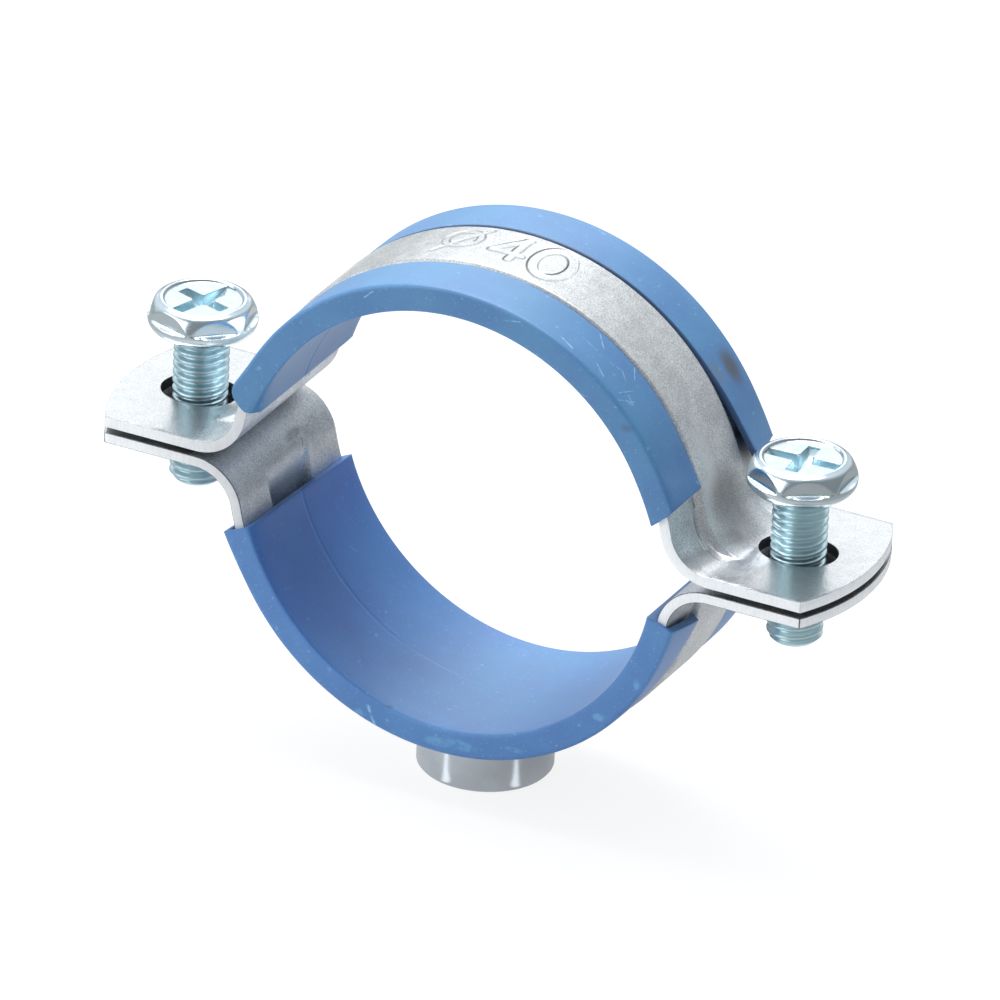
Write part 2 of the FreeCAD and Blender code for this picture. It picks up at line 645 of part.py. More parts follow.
def make_boss(label):
    """Turned boss, threaded from below up to a relief, with a saddle that fits the strap."""
    body = new_body(label)
    outer = value("Sizes.boss_diameter / 2")
    thread = "(Sizes.boss_thread_diameter / 2 + Sizes.thread_clearance)"
    inner = value(thread)
    chamfer = value("Sizes.boss_chamfer")
    blank_height = "(Sizes.boss_height + Sizes.boss_diameter / 4)"
    thread_end = "(Sizes.boss_height - Sizes.boss_relief_depth)"
    relief = inner + value("Sizes.boss_relief_step")
    top = value(blank_height)
    sketch = new_sketch(body, "half_section", "XZ_Plane")
    corners = [
        (inner + chamfer, 0), (outer - chamfer, 0), (outer, chamfer), (outer, top),
        (relief, top), (relief, value(thread_end)), (inner, value(thread_end)), (inner, chamfer),
    ]
    count = len(corners)
    lines = [add_line(sketch, corners[k], corners[(k + 1) % count]) for k in range(count)]
    for k in range(count):
        join(sketch, lines[k], 2, lines[(k + 1) % count], 1)
    for k in (0, 3, 5):
        sketch.addConstraint(Sketcher.Constraint("Horizontal", lines[k]))
    for k in (2, 4, 6):
        sketch.addConstraint(Sketcher.Constraint("Vertical", lines[k]))
    sketch.addConstraint(Sketcher.Constraint("PointOnObject", lines[0], 1, -1))
    bind(sketch, "outer", "DistanceX", (-1, 1, lines[2], 1), "(Sizes.boss_diameter / 2)")
    bind(sketch, "inner", "DistanceX", (-1, 1, lines[6], 1), thread)
    bind(sketch, "relief_step", "DistanceX", (lines[5], 2, lines[5], 1), "Sizes.boss_relief_step")
    bind(sketch, "thread_end", "DistanceY", (-1, 1, lines[5], 1), thread_end)
    bind(sketch, "top", "DistanceY", (-1, 1, lines[3], 1), blank_height)
    bind(sketch, "outer_chamfer", "DistanceX", (lines[0], 2, lines[1], 2), "Sizes.boss_chamfer")
    bind(sketch, "outer_chamfer_rise", "DistanceY", (lines[0], 2, lines[1], 2), "Sizes.boss_chamfer")
    bind(sketch, "inner_chamfer", "DistanceX", (lines[7], 1, lines[7], 2), "Sizes.boss_chamfer")
    bind(sketch, "inner_chamfer_rise", "DistanceY", (lines[7], 2, lines[7], 1), "Sizes.boss_chamfer")
    blank = body.newObject("PartDesign::Revolution", "turned_blank")
    blank.Profile = sketch
    blank.ReferenceAxis = (origin_feature(body, "Z_Axis"), [""])
    blank.Angle = 360
    doc.recompute()
    saddle_outline = new_sketch(body, "saddle_outline", "XZ_Plane")
    saddle = add_circle(saddle_outline, (0, value(AXIS_HEIGHT)), value(SADDLE_RADIUS))
    saddle_outline.addConstraint(Sketcher.Constraint("PointOnObject", saddle, 3, -2))
    bind(saddle_outline, "saddle_radius", "Radius", (saddle,), SADDLE_RADIUS)
    bind(saddle_outline, "axis_height", "DistanceY", (-1, 1, saddle, 3), AXIS_HEIGHT)
    body.Tip = cut_through(body, "saddle", saddle_outline)
    return body


lower_strap = make_strap("lower_strap", tapped_hole)
lower_strap.Placement.Rotation = FreeCAD.Rotation(FreeCAD.Vector(0, 1, 0), 180)
upper_strap = make_strap("upper_strap", screw_slot)
lower_lining = make_lining("lower_lining", "Sizes.lower_lining_slant")
lower_lining.Placement.Rotation = FreeCAD.Rotation(FreeCAD.Vector(0, 1, 0), 180)
lower_lining.setExpression("Placement.Rotation.Angle", "180 - Sizes.lower_lining_turn")
upper_lining = make_lining("upper_lining", "Sizes.upper_lining_slant")
left_screw = make_screw("left_screw", -1, "Sizes.left_screw_turn")
right_screw = make_screw("right_screw", 1, "Sizes.right_screw_turn")
threaded_boss = make_boss("threaded_boss")
doc.recompute()

for item in doc.Objects:
    if "Invalid" in item.State or "Error" in item.State:
        raise RuntimeError(f"{item.Label} failed: {item.State}")

os.makedirs("parts", exist_ok=True)
for node in (lower_strap, upper_strap, lower_lining, upper_lining, left_screw, right_screw, threaded_boss):
    shape = node.Shape
    if shape.isNull() or not shape.isValid():
        raise RuntimeError(f"{node.Label} has no valid shape")
    box = shape.BoundBox
    print(
        f"{node.Label}: {len(shape.Solids)} solid, {shape.Volume:.2f} mm3,"
        f" x {box.XMin:.2f} {box.XMax:.2f}, y {box.YMin:.2f} {box.YMax:.2f}, z {box.ZMin:.2f} {box.ZMax:.2f}"
    )
    shape.exportStep(f"parts/{node.Label}.step")
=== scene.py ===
import math
import random

import bmesh
import bpy
import numpy as np
from mathutils import Matrix, Vector


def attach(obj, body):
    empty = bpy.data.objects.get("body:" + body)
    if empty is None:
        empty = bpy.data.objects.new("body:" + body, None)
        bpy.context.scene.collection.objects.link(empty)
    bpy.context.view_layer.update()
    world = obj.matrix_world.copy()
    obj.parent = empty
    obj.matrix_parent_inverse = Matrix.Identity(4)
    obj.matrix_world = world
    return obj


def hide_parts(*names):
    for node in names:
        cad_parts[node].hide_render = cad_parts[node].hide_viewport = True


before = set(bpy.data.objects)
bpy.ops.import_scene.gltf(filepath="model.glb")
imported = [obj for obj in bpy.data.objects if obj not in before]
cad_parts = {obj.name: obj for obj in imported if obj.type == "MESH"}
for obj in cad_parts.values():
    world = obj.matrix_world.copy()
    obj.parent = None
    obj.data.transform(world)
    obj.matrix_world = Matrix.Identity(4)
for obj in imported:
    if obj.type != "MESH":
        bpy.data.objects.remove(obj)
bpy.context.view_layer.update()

MM = 0.001
AXIS_HEIGHT = 27.6

# Strap sizes, millimetres from the pipe axis
RING_SIDE = 21.9
RING_BAND = 22.7
BEND_SIDE = 3.8
BEND_BAND = 5.0
EAR_TOP = 1.275
BAND_SINK = 0.1
SHEET = 1.0
HALF_WIDTH = 9.0
EAR_START = 25.55
EAR_CORNER = 34.2
EAR_TIP = 36.45
SCREW_REACH = 29.5
BAND_START, BAND_BORDER = 3.66, 4.16
CHANNEL_START, CHANNEL_BORDER = 3.1, 3.65
CHANNEL_END, CHANNEL_FULL = 2.6, 5.5
SLOT_LENGTH, SLOT_WIDTH = 7.2, 5.6
TAPPED_RADIUS = 2.56
EDGE_ROUNDING = 0.13
RING_ROWS, BEND_ROWS = 76, 30
# How far the band's borders fan out towards the ears, by the distance from the middle
FAN_PLACES, FAN_MOVES = (0, 2.6, 3.6, 4.3, 7.0, 9.0), (0, 0.3, 0.62, 0.62, 0.15, 0)


# Meshes
def add_object(name, data):
    """A new object in the scene."""
    obj = bpy.data.objects.new(name, data)
    bpy.context.scene.collection.objects.link(obj)
    return obj


def new_object(name, vertices, faces, sharp_angle=35.0):
    """A smooth shaded object; its vertices come in millimetres in the part's frame."""
    mesh = bpy.data.meshes.new(name)
    points = np.asarray(vertices, float) * MM
    mesh.from_pydata(points.tolist(), [], faces)
    mesh.validate()
    mesh.update()
    obj = add_object(name, mesh)
    smooth(obj, sharp_angle)
    return obj


def smooth(obj, sharp_angle):
    """Shade smooth, apart from the edges that turn by more than an angle in degrees."""
    mesh = obj.data
    mesh.polygons.foreach_set("use_smooth", [True] * len(mesh.polygons))
    mesh.set_sharp_from_angle(angle=math.radians(sharp_angle))


def apply_modifiers(obj):
    """Turn the modified shape into the object's own mesh."""
    graph = bpy.context.evaluated_depsgraph_get()
    mesh = bpy.data.meshes.new_from_object(obj.evaluated_get(graph))
    old = obj.data
    obj.modifiers.clear()
    obj.data = mesh
    bpy.data.meshes.remove(old)
    mesh.name = obj.name


def change_mesh(obj, change):
    """Open an object's mesh, change it and store it again."""
    work = bmesh.new()
    work.from_mesh(obj.data)
    change(work)
    work.to_mesh(obj.data)
    work.free()
    obj.data.update()


def merge_points(obj):
    """Join points that lie on one another, as at the lips' corners."""
    change_mesh(obj, lambda work: bmesh.ops.remove_doubles(work, verts=work.verts, dist=1e-6))


def recalculate_normals(obj):
    """Turn all faces outwards."""
    change_mesh(obj, lambda work: bmesh.ops.recalc_face_normals(work, faces=work.faces))


def join_objects(target, other):
    """Take another object's faces into the target and remove the other."""
    change_mesh(target, lambda work: work.from_mesh(other.data))
    bpy.data.objects.remove(other)


def soften_edges(obj, width, angle, material=-1):
    """Round off the edges that turn by more than an angle; material is the new faces' slot."""
    bevel = obj.modifiers.new("soft_edges", "BEVEL")
    bevel.material = material
    bevel.width = width * MM
    bevel.segments = 2
    bevel.limit_method = "ANGLE"
    bevel.angle_limit = math.radians(angle)
    bevel.use_clamp_overlap = True
    apply_modifiers(obj)


def grid_faces(rows, columns, closed=False, joined=False):
    """Quads of a grid of points, row by row; closed rows, or the last joined to the first."""
    faces = []
    for i in range(rows if joined else rows - 1):
        for j in range(columns if closed else columns - 1):
            k = (j + 1) % columns
            a, b = i * columns, (i + 1) % rows * columns
            faces.append((a + j, a + k, b + k, b + j))
    return faces


def cap_ends(vertices, faces, rows, around, low, high):
    """Close a turned shape with a fan of faces round a middle point at each end."""
    bottom, top = len(vertices), len(vertices) + 1
    vertices += [(0, 0, low), (0, 0, high)]
    last = (rows - 1) * around
    for j in range(around):
        k = (j + 1) % around
        faces.append((bottom, k, j))
        faces.append((top, last + j, last + k))


def smoothstep(low, high, x):
    """A smooth step from 0 at low to 1 at high."""
    t = min(max((x - low) / (high - low), 0.0), 1.0)
    return t * t * (3 - 2 * t)


def blend(first, second, share):
    """What lies a share of the way from the first value to the second."""
    return first + (second - first) * share


# Pressed strap
def bend_centre(ring, bend, level):
    """Centre of the bend that joins the ring to an ear at a level over the pipe axis."""
    height = level + bend
    return math.sqrt((ring + bend) ** 2 - height**2), height


def width_columns():
    """Places across the strap, and the shares of the band outside and the channel inside."""
    half = [0.0, 0.9, 1.8, 2.6, 3.0, 3.15, 3.25, 3.35, 3.45, 3.55, 3.65, 3.72, 3.79, 3.85, 3.91]
    half += [3.97, 4.03, 4.1, 4.18, 4.3, 4.6, 5.2, 6.0, 7.0, 8.0, 8.6, 9.0]
    band = [1 - smoothstep(BAND_START, BAND_BORDER, y) for y in half]
    channel = [1 - smoothstep(CHANNEL_START, CHANNEL_BORDER, y) for y in half]
    y = [-v for v in reversed(half)] + half[1:]
    return np.array(y), np.array(band[:0:-1] + band), np.array(channel[:0:-1] + channel)


def side_path(ring, bend, level, lowest):
    """One column of the strap's right half, from the top to where the ear starts."""
    cx, cz = bend_centre(ring, bend, level)
    turn = math.atan2(cz, cx)
    ring_angles = np.linspace(math.pi / 2, turn, RING_ROWS)
    ring_points = np.stack([ring * np.cos(ring_angles), ring * np.sin(ring_angles)], 1)
    dense = np.linspace(turn + math.pi, 1.5 * math.pi, 400)
    run = np.stack([cx + bend * np.cos(dense), cz + bend * np.sin(dense)], 1)
    if cx < EAR_START:
        run = np.vstack([run, [[EAR_START, level]]])
    keep = run[:, 0] <= EAR_START
    last = int(np.argmax(~keep)) if not keep.all() else len(run)
    if last < len(run):
        a, b = run[last - 1], run[last]
        t = (EAR_START - a[0]) / (b[0] - a[0])
        run = np.vstack([run[:last], [a + t * (b - a)]])
    length = np.concatenate([[0], np.cumsum(np.linalg.norm(np.diff(run, axis=0), axis=1))])
    places = np.linspace(0, length[-1], BEND_ROWS + 1)[1:]
    x = np.interp(places, length, run[:, 0])
    z = np.maximum(np.interp(places, length, run[:, 1]), lowest)
    return np.vstack([ring_points, np.stack([x, z], 1)])


def ear_height(x, share):
    """Height of the ear near the bend, where the band runs out."""
    bend = blend(BEND_SIDE, BEND_BAND, share)
    ring = blend(RING_SIDE, RING_BAND, share)
    level = EAR_TOP - BAND_SINK * share
    cx, cz = bend_centre(ring, bend, level)
    if x >= cx:
        return EAR_TOP
    return max(EAR_TOP, cz - math.sqrt(bend**2 - (cx - x) ** 2))


def hole_point(direction, half_run, radius):
    """Where a ray from the hole's centre meets a slot's outline."""
    dx, dy = direction
    if abs(dy) > 1e-9:
        t = radius / abs(dy)
        if abs(t * dx) <= half_run:
            return t * dx, t * dy
    centre = math.copysign(half_run, dx)
    b = -dx * centre
    c = centre**2 - radius**2
    t = -b + math.sqrt(max(b * b - c, 0.0))
    return t * dx, t * dy


def ear_outline(near_y):
    """The ear's border, from the bend's line round the tip and back, starting at the back."""
    points = [(EAR_START, y) for y in near_y[::-1]]
    side = np.linspace(EAR_START, EAR_CORNER, 12)[1:-1]
    points += [(x, -HALF_WIDTH) for x in side]
    rise = EAR_TIP - EAR_CORNER
    radius = (rise**2 + HALF_WIDTH**2) / (2 * rise)
    sweep = math.asin(HALF_WIDTH / radius)
    for angle in np.linspace(-sweep, sweep, 37):
        points.append((EAR_TIP - radius + radius * math.cos(angle), radius * math.sin(angle)))
    points += [(x, HALF_WIDTH) for x in side[::-1]]
    return points


def strap_skins(y, fan, band, channel):
    """Points of the outer and the inner skin, row by row from one ear's start to the other's.

    y gives the columns' places across the strap, and fan how far each moves
    outwards where the band runs out into the ears.
    """
    outside = np.array([
        side_path(
            blend(RING_SIDE, RING_BAND, share), blend(BEND_SIDE, BEND_BAND, share),
            EAR_TOP - BAND_SINK * share, EAR_TOP,
        )
        for share in band
    ])
    under = EAR_TOP - SHEET
    plain = side_path(RING_SIDE - SHEET, BEND_SIDE + SHEET, under, under)
    deep = side_path(RING_BAND - SHEET, BEND_BAND + SHEET, under, under)
    fade = np.array([smoothstep(CHANNEL_END, CHANNEL_FULL, z) for z in plain[:, 1]])
    inside = np.array([plain + (deep - plain) * (share * fade)[:, None] for share in channel])
    rows = outside.shape[1]
    fan_rows = rows - RING_ROWS + 12
    spread = np.zeros(rows)
    spread[-fan_rows:] = np.linspace(0, 1, fan_rows) ** 1.2
    skins = []
    for skin in (outside, inside):
        points = []
        for sign, order in ((-1, range(rows - 1, 0, -1)), (1, range(rows))):
            for i in order:
                for j, (place, move) in enumerate(zip(y, fan)):
                    points.append((sign * skin[j, i, 0], place + move * spread[i], skin[j, i, 1]))
        skins.append(points)
    return skins, 2 * rows - 1


def ear_points(skins, sign, outline, edge, half_run, hole_radius, near_y, band):
    """Add one ear's points to both skins. Returns them in rings, from the hole to the border.

    edge holds the strap's own points along the line where the ear starts.
    """
    under = EAR_TOP - SHEET
    border = list(edge)
    for px, py in outline[len(edge):]:
        border.append(len(skins[0]))
        skins[0].append((sign * px, py, EAR_TOP))
        skins[1].append((sign * px, py, under))
    middle = len(near_y) // 2
    rings = []
    for step in (0.0, 0.05, 0.14, 0.28, 0.45, 0.63, 0.8, 0.92):
        ring = []
        for px, py in outline:
            dx, dy = px - SCREW_REACH, py
            length = math.hypot(dx, dy)
            hx, hy = hole_point((dx / length, dy / length), half_run, hole_radius)
            qx = SCREW_REACH + hx + (dx - hx) * step
            qy = hy + (dy - hy) * step
            share = float(np.interp(abs(qy), near_y[middle:], band[middle:]))
            ring.append(len(skins[0]))
            skins[0].append((sign * qx, qy, ear_height(qx, share)))
            skins[1].append((sign * qx, qy, under))
        rings.append(ring)
    return rings + [border]


def strap_mesh(name, half_run, hole_radius, over):
    """A pressed strap with its raised band outside and channel inside.

    half_run and hole_radius give the ears' slot or round hole, and over is 1 for the
    upper strap and -1 for the lower one.
    """
    y, band, channel = width_columns()
    columns = len(y)
    fan = np.sign(y) * np.interp(np.abs(y), FAN_PLACES, FAN_MOVES)
    near_y = y + fan
    skins, rows = strap_skins(y, fan, band, channel)
    faces = grid_faces(rows, columns)
    outline = ear_outline(near_y)
    for sign, row in ((1, rows - 1), (-1, 0)):
        edge = [row * columns + k for k in range(columns - 1, -1, -1)]
        rings = ear_points(skins, sign, outline, edge, half_run, hole_radius, near_y, band)
        for inner, outer in zip(rings, rings[1:]):
            for k in range(len(outline)):
                m = (k + 1) % len(outline)
                quad = (inner[k], inner[m], outer[m], outer[k])
                faces.append(quad if sign > 0 else quad[::-1])
    used = dict.fromkeys(pair for face in faces for pair in zip(face, face[1:] + face[:1]))
    rim = [(a, b) for a, b in used if (b, a) not in used]
    total = len(skins[0])
    skin_count = 2 * len(faces)
    faces += [tuple(v + total for v in reversed(face)) for face in faces]
    faces += [(b, a, a + total, b + total) for a, b in rim]
    points = np.array(skins[0] + skins[1])
    points[:, [0, 2]] *= over
    points[:, 2] += AXIS_HEIGHT
    obj = new_object(name, points, faces)
    edge_slot, corner_slot = 1, 2
    for _ in range(3):
        obj.data.materials.append(None)
    for polygon in obj.data.polygons[skin_count:]:
        polygon.material_index = edge_slot
    recalculate_normals(obj)
    soften_edges(obj, EDGE_ROUNDING, 50, material=corner_slot)
    smooth(obj, 40)
    return obj


# Rubber lining
BORE = 20.0
LINER = 20.85
LIP_UNDER = 21.95
LIP_TOP = 22.55
LIP_BORDER = 4.15
LINING_HALF = 9.4
POCKET_HALF = 9.05
OVER_STRAP = 21.5
BACK_LIP_LIMIT = 22.69
LINING_ROWS = 150


def corner_arc(centre, radius, start, end, count):
    """Points of an arc between two angles in degrees."""
    angles = np.radians(np.linspace(start, end, count))
    return [(centre[0] + radius * math.cos(a), centre[1] + radius * math.sin(a)) for a in angles]


def lining_skin(border):
    """Front half of the lining's outer skin as points (y, r), from the lip's tip to the middle."""
    soft = 0.38
    skin = corner_arc((-border - 0.16, LIP_TOP - 0.16), 0.16, 0, 90, 4)
    for y in (-4.8, -5.6, -6.5, -7.4, -8.3):
        skin.append((y, LIP_TOP + 0.02 * math.cos((y + 6.8) * 0.6)))
    skin += corner_arc((-LINING_HALF + soft, LIP_TOP - soft), soft, 95, 178, 6)
    skin += [(-LINING_HALF, r) for r in (21.8, 21.4, 21.0, 20.7)]
    skin += corner_arc((-LINING_HALF + 0.2, BORE + 0.2), 0.2, 182, 268, 6)
    skin += [(y, BORE) for y in (-8.2, -6.5, -4.5, -2.5, -1.0, -0.35, -0.14)]
    skin += [(-0.05, BORE + 0.07)]
    return skin


def lining_skins(borders):
    """The profile's outer skin and the inner one that lies on the strap, as points (y, r)."""
    outer = lining_skin(borders[0]) + [(-y, r) for y, r in reversed(lining_skin(borders[1]))]
    inner = []
    for y, r in outer:
        side = -1 if y < 0 else 1
        if r > LIP_UNDER:
            step = (RING_BAND - RING_SIDE) * (1 - smoothstep(BAND_START, BAND_BORDER, abs(y)))
            inner.append((side * min(abs(y), POCKET_HALF), max(LIP_UNDER, RING_SIDE + step + 0.03)))
        elif abs(y) > POCKET_HALF:
            inner.append((side * POCKET_HALF, min(max(r, LINER), LIP_UNDER)))
        else:
            inner.append((y, LINER))
    return outer, inner


def lining_mesh(name, ends, slant, rounds, lip_ends, lifts, curls, skew, borders, gap, seed):
    """Rubber profile swept round the pipe axis, between two angles in degrees.

    slant is how many degrees a millimetre the ends lean back, and rounds how much
    more the outer corner of each end is worn off. lip_ends gives, for the two ends,
    how much earlier each lip stops at its border; lifts gives how far each lip
    stands off the strap there, and curls how far each side wall bulges outwards.
    skew turns the first end a little across its width, borders are the front and
    back lips' edges, and gap is how far the back lip stands off along its run.
    """
    start, end = ends
    noise = random.Random(seed)
    waves = [
        (noise.uniform(2, 9), noise.uniform(0, 6.28), noise.uniform(0.3, 1.0)) for _ in range(5)
    ]

    def angle_at(share, y, r, lip, side):
        """Where a share of the way round lies for one line of the profile, in degrees."""
        lean = (r - BORE) * slant
        worn = max(0.0, (r - 21.2) / 1.35) ** 3 + 0.35 * max(0.0, (20.7 - r) / 0.7) ** 3
        a0 = start + skew * y / LINING_HALF + lean + worn * rounds[0] + lip * lip_ends[0][side]
        a1 = end - lean - worn * rounds[1] - lip * lip_ends[1][side]
        return blend(a0, a1, share)

    def point(share, y, r):
        """A point of the profile, a share of the way round, with its lips as they lie."""
        side = 0 if y < 0 else 1
        is_lip = r > OVER_STRAP
        lip = max(0.0, (POCKET_HALF - abs(y)) / (POCKET_HALF - LIP_BORDER)) if is_lip else 0.0
        wall = 1.0 if is_lip else min(max((abs(y) - 8.9) / 0.5, 0.0), 1.0)
        angle = angle_at(share, y, r, lip, side)
        radius, across = r, y
        if abs(y) < 0.1:
            depth = (r - BORE) * 0.85
            radius -= depth * smoothstep(-9, 1, BORE * math.cos(math.radians(angle)))
        for which, near in ((0, angle - start), (1, end - angle)):
            amount, reach = lifts[which][side]
            if is_lip:
                radius += amount * max(0.0, 1 - near / reach) ** 2 * (0.25 + 0.75 * lip)
            radius += curls[which][side] * max(0.0, 1 - near / 15) ** 2 * wall
        if is_lip and y > 0 and gap:
            off = 0.28 * smoothstep(155, 120, angle) + 0.72 * smoothstep(56, 26, angle)
            radius += gap * off * (0.25 + 0.75 * lip)
            radius = min(radius, BACK_LIP_LIMIT / max(math.sin(math.radians(angle)), 0.2))
        if is_lip:
            wave = sum(k * math.sin(math.radians(angle) * f + p) for f, p, k in waves)
            across += (0.035 * wave * lip) * (1 if y > 0 else -1)
        a = math.radians(angle)
        return radius * math.cos(a), across, radius * math.sin(a) + AXIS_HEIGHT

    outer, inner = lining_skins(borders)
    vertices = []
    for i in range(LINING_ROWS):
        share = i / (LINING_ROWS - 1)
        share = share * share * (3 - 2 * share) * 0.12 + share * 0.88
        vertices += [point(share, y, r) for y, r in outer + inner]
    faces = []
    count = len(outer)
    stride = 2 * count
    for i in range(LINING_ROWS - 1):
        a, b = i * stride, (i + 1) * stride
        for j in range(count - 1):
            faces.append((a + j, a + j + 1, b + j + 1, b + j))
            faces.append((a + count + j, b + count + j, b + count + j + 1, a + count + j + 1))
        faces.append((a, b, b + count, a + count))
        faces.append((a + count - 1, a + 2 * count - 1, b + 2 * count - 1, b + count - 1))
    for base, flip in ((0, False), ((LINING_ROWS - 1) * stride, True)):
        for j in range(count - 1):
            quad = (base + j, base + count + j, base + count + j + 1, base + j + 1)
            faces.append(quad[::-1] if flip else quad)
    obj = new_object(name, vertices, faces, 40)
    merge_points(obj)
    recalculate_normals(obj)
    soften_edges(obj, 0.1, 62)
    smooth(obj, 45)
    return obj


# Screws
SCREW_RADIUS = 2.5
SCREW_ROOT = 2.03
PITCH = 0.8
SCREW_LENGTH = 14.0
HEAD_UNDERSIDE = 34.425
HEAD_HEIGHT = 3.6
HEAD_FLAT = 4.35
DISH_FLOOR = HEAD_HEIGHT - 0.27
TIP_CHAMFER = 0.55
FLAT_BLEND = 34


def thread_radius(phase, root, crest):
    """Rolled thread: flat crest, straight flanks and a round root."""
    t = abs((phase % 1.0) - 0.5) * 2
    rise = min(max((t - 0.16) / 0.6, 0.0), 1.0)
    rise = rise * rise * (3 - 2 * rise) * 0.5 + rise * 0.5
    return root + (crest - root) * rise


def shank_mesh():
    """The threaded shank, with its tip at the bottom and its top at height 0."""
    around, rows = 72, 230
    vertices = []
    for i in range(rows):
        z = -SCREW_LENGTH + (SCREW_LENGTH + 0.1) * i / (rows - 1)
        depth = z + SCREW_LENGTH
        limit = SCREW_RADIUS - max(TIP_CHAMFER - depth, 0.0)
        ease = min(max((-z) / 0.3, 0.0), 1.0)
        for j in range(around):
            phase = z / PITCH - j / around
            r = thread_radius(phase, SCREW_ROOT, SCREW_RADIUS - 0.01)
            r = min(blend(SCREW_ROOT + 0.25, r, ease), limit)
            a = 2 * math.pi * j / around
            vertices.append((r * math.cos(a), r * math.sin(a), z))
    faces = grid_faces(rows, around, closed=True)
    cap_ends(vertices, faces, rows, around, -SCREW_LENGTH, 0.1)
    return vertices, faces


# The head's blank as height and radius
BARREL = (
    (0.0, 2.9), (0.12, 3.35), (0.3, 3.78), (0.5, 4.12), (0.75, 4.45), (1.05, 4.72), (1.35, 4.87),
    (1.6, 4.9), (1.85, 4.9), (2.1, 4.87), (2.5, 4.74), (2.9, 4.56), (3.2, 4.39), (3.39, 4.22),
    (3.47, 4.05), (3.6, 3.9),
)


def barrel_radius(z):
    """The head's round blank before its flats: a bowl below, a shoulder drawn in to the rim."""
    return float(np.interp(z, *zip(*BARREL)))


def head_radius(angle, z):
    """The smaller of blank and flat, softly joined; the flats run out into the lower collar."""
    barrel = sum(barrel_radius(z + d) for d in (-0.09, -0.045, 0.0, 0.045, 0.09)) / 5
    turn = (math.degrees(angle) + 30) % 60 - 30
    ledge = 0.9 * smoothstep(1.95, 1.68, z)
    plane = HEAD_FLAT / math.cos(math.radians(turn)) + ledge
    return -math.log(math.exp(-FLAT_BLEND * barrel) + math.exp(-FLAT_BLEND * plane)) / FLAT_BLEND


def head_mesh():
    """Head with six lens shaped flats, a fine rim and a dished top."""
    around = 288
    dish = DISH_FLOOR
    profile = [(0.0, 2.4), (0.0, 2.8)]
    profile += [(float(z), None) for z in np.linspace(0.05, HEAD_HEIGHT - 0.16, 56)]
    profile += [(3.49, 3.94), (3.55, 3.86), (3.59, 3.78), (3.6, 3.7), (3.585, 3.62), (3.54, 3.56)]
    profile += [(3.45, 3.51), (dish + 0.05, 3.46), (dish + 0.01, 3.38), (dish, 3.25)]
    profile += [(dish, 2.7), (dish, 1.8), (dish, 0.9)]
    vertices = []
    for z, r in profile:
        for j in range(around):
            a = 2 * math.pi * j / around
            radius = head_radius(a, z) if r is None else r
            vertices.append((radius * math.cos(a), radius * math.sin(a), z))
    faces = grid_faces(len(profile), around, closed=True)
    cap_ends(vertices, faces, len(profile), around, 0.0, dish)
    return vertices, faces


def cut(obj, points, around):
    """Take a shape out of an object; its points come in sections of so many points around."""
    sections = len(points) // around
    faces = grid_faces(sections, around, closed=True)
    first_end = tuple(range(around))
    faces += [first_end[::-1], tuple(k + len(points) - around for k in first_end)]
    cutter = new_object("cutter", points, faces, 1)
    recalculate_normals(cutter)
    knife = obj.modifiers.new("recess", "BOOLEAN")
    knife.operation = "DIFFERENCE"
    knife.solver = "EXACT"
    knife.object = cutter
    apply_modifiers(obj)
    bpy.data.objects.remove(cutter)


def slot_cutter(length, width, centre_depth, end_depth, along_x):
    """A slot whose floor is an arc: deep in the middle and shallow at its ends."""
    top = DISH_FLOOR + 0.6
    steps = 14
    points = []
    for k in range(steps + 1):
        t = 2 * k / steps - 1
        x = t * length / 2
        floor = DISH_FLOOR - blend(end_depth, centre_depth, (1 - t * t) ** 0.8)
        low, high = width / 2 - 0.07, width / 2 + 0.03
        for py, pz in ((-low, floor), (low, floor), (high, top), (-high, top)):
            points.append((x, py, pz) if along_x else (-py, x, pz))
    return points, 4


def socket_cutter(top_radius, low_radius, depth):
    """The round tapered pit in the middle of the recess, carried on above the dish."""
    sides, above = 32, 0.6
    mouth = top_radius + (top_radius - low_radius) * above / depth
    points = []
    for z, r in ((DISH_FLOOR - depth, low_radius), (DISH_FLOOR + above, mouth)):
        for k in range(sides):
            a = 2 * math.pi * k / sides
            points.append((r * math.cos(a), r * math.sin(a), z))
    return points, sides


def screw_object(name, side, turn):
    """A whole screw in its place; side is -1 or 1, and turn is in degrees."""
    head = new_object(name + "_head", *head_mesh())
    cut(head, *slot_cutter(length=6.9, width=1.2, centre_depth=1.2, end_depth=0.12, along_x=True))
    cut(head, *slot_cutter(length=5.2, width=1.2, centre_depth=1.5, end_depth=0.25, along_x=False))
    cut(head, *socket_cutter(top_radius=1.02, low_radius=0.5, depth=1.7))
    smooth(head, 28)
    vertices, faces = shank_mesh()
    shank = new_object(name, vertices, faces, 50)
    join_objects(shank, head)
    place = Matrix.Translation((side * SCREW_REACH * MM, 0, HEAD_UNDERSIDE * MM))
    shank.data.transform(place @ Matrix.Rotation(math.radians(turn), 4, "Z"))
    return shank


# Boss
BOSS_RADIUS = 6.1
BOSS_CREST, BOSS_ROOT, BOSS_RELIEF = 3.5, 4.06, 4.56
BOSS_PITCH = 1.25
BOSS_WELD = 4.3
BOSS_FOOT = ((4.5, 0.0), (5.6, 0.0), (5.72, 0.02), (5.82, 0.08), (6.0, 0.28), (6.07, 0.38))
SADDLE = 22.72


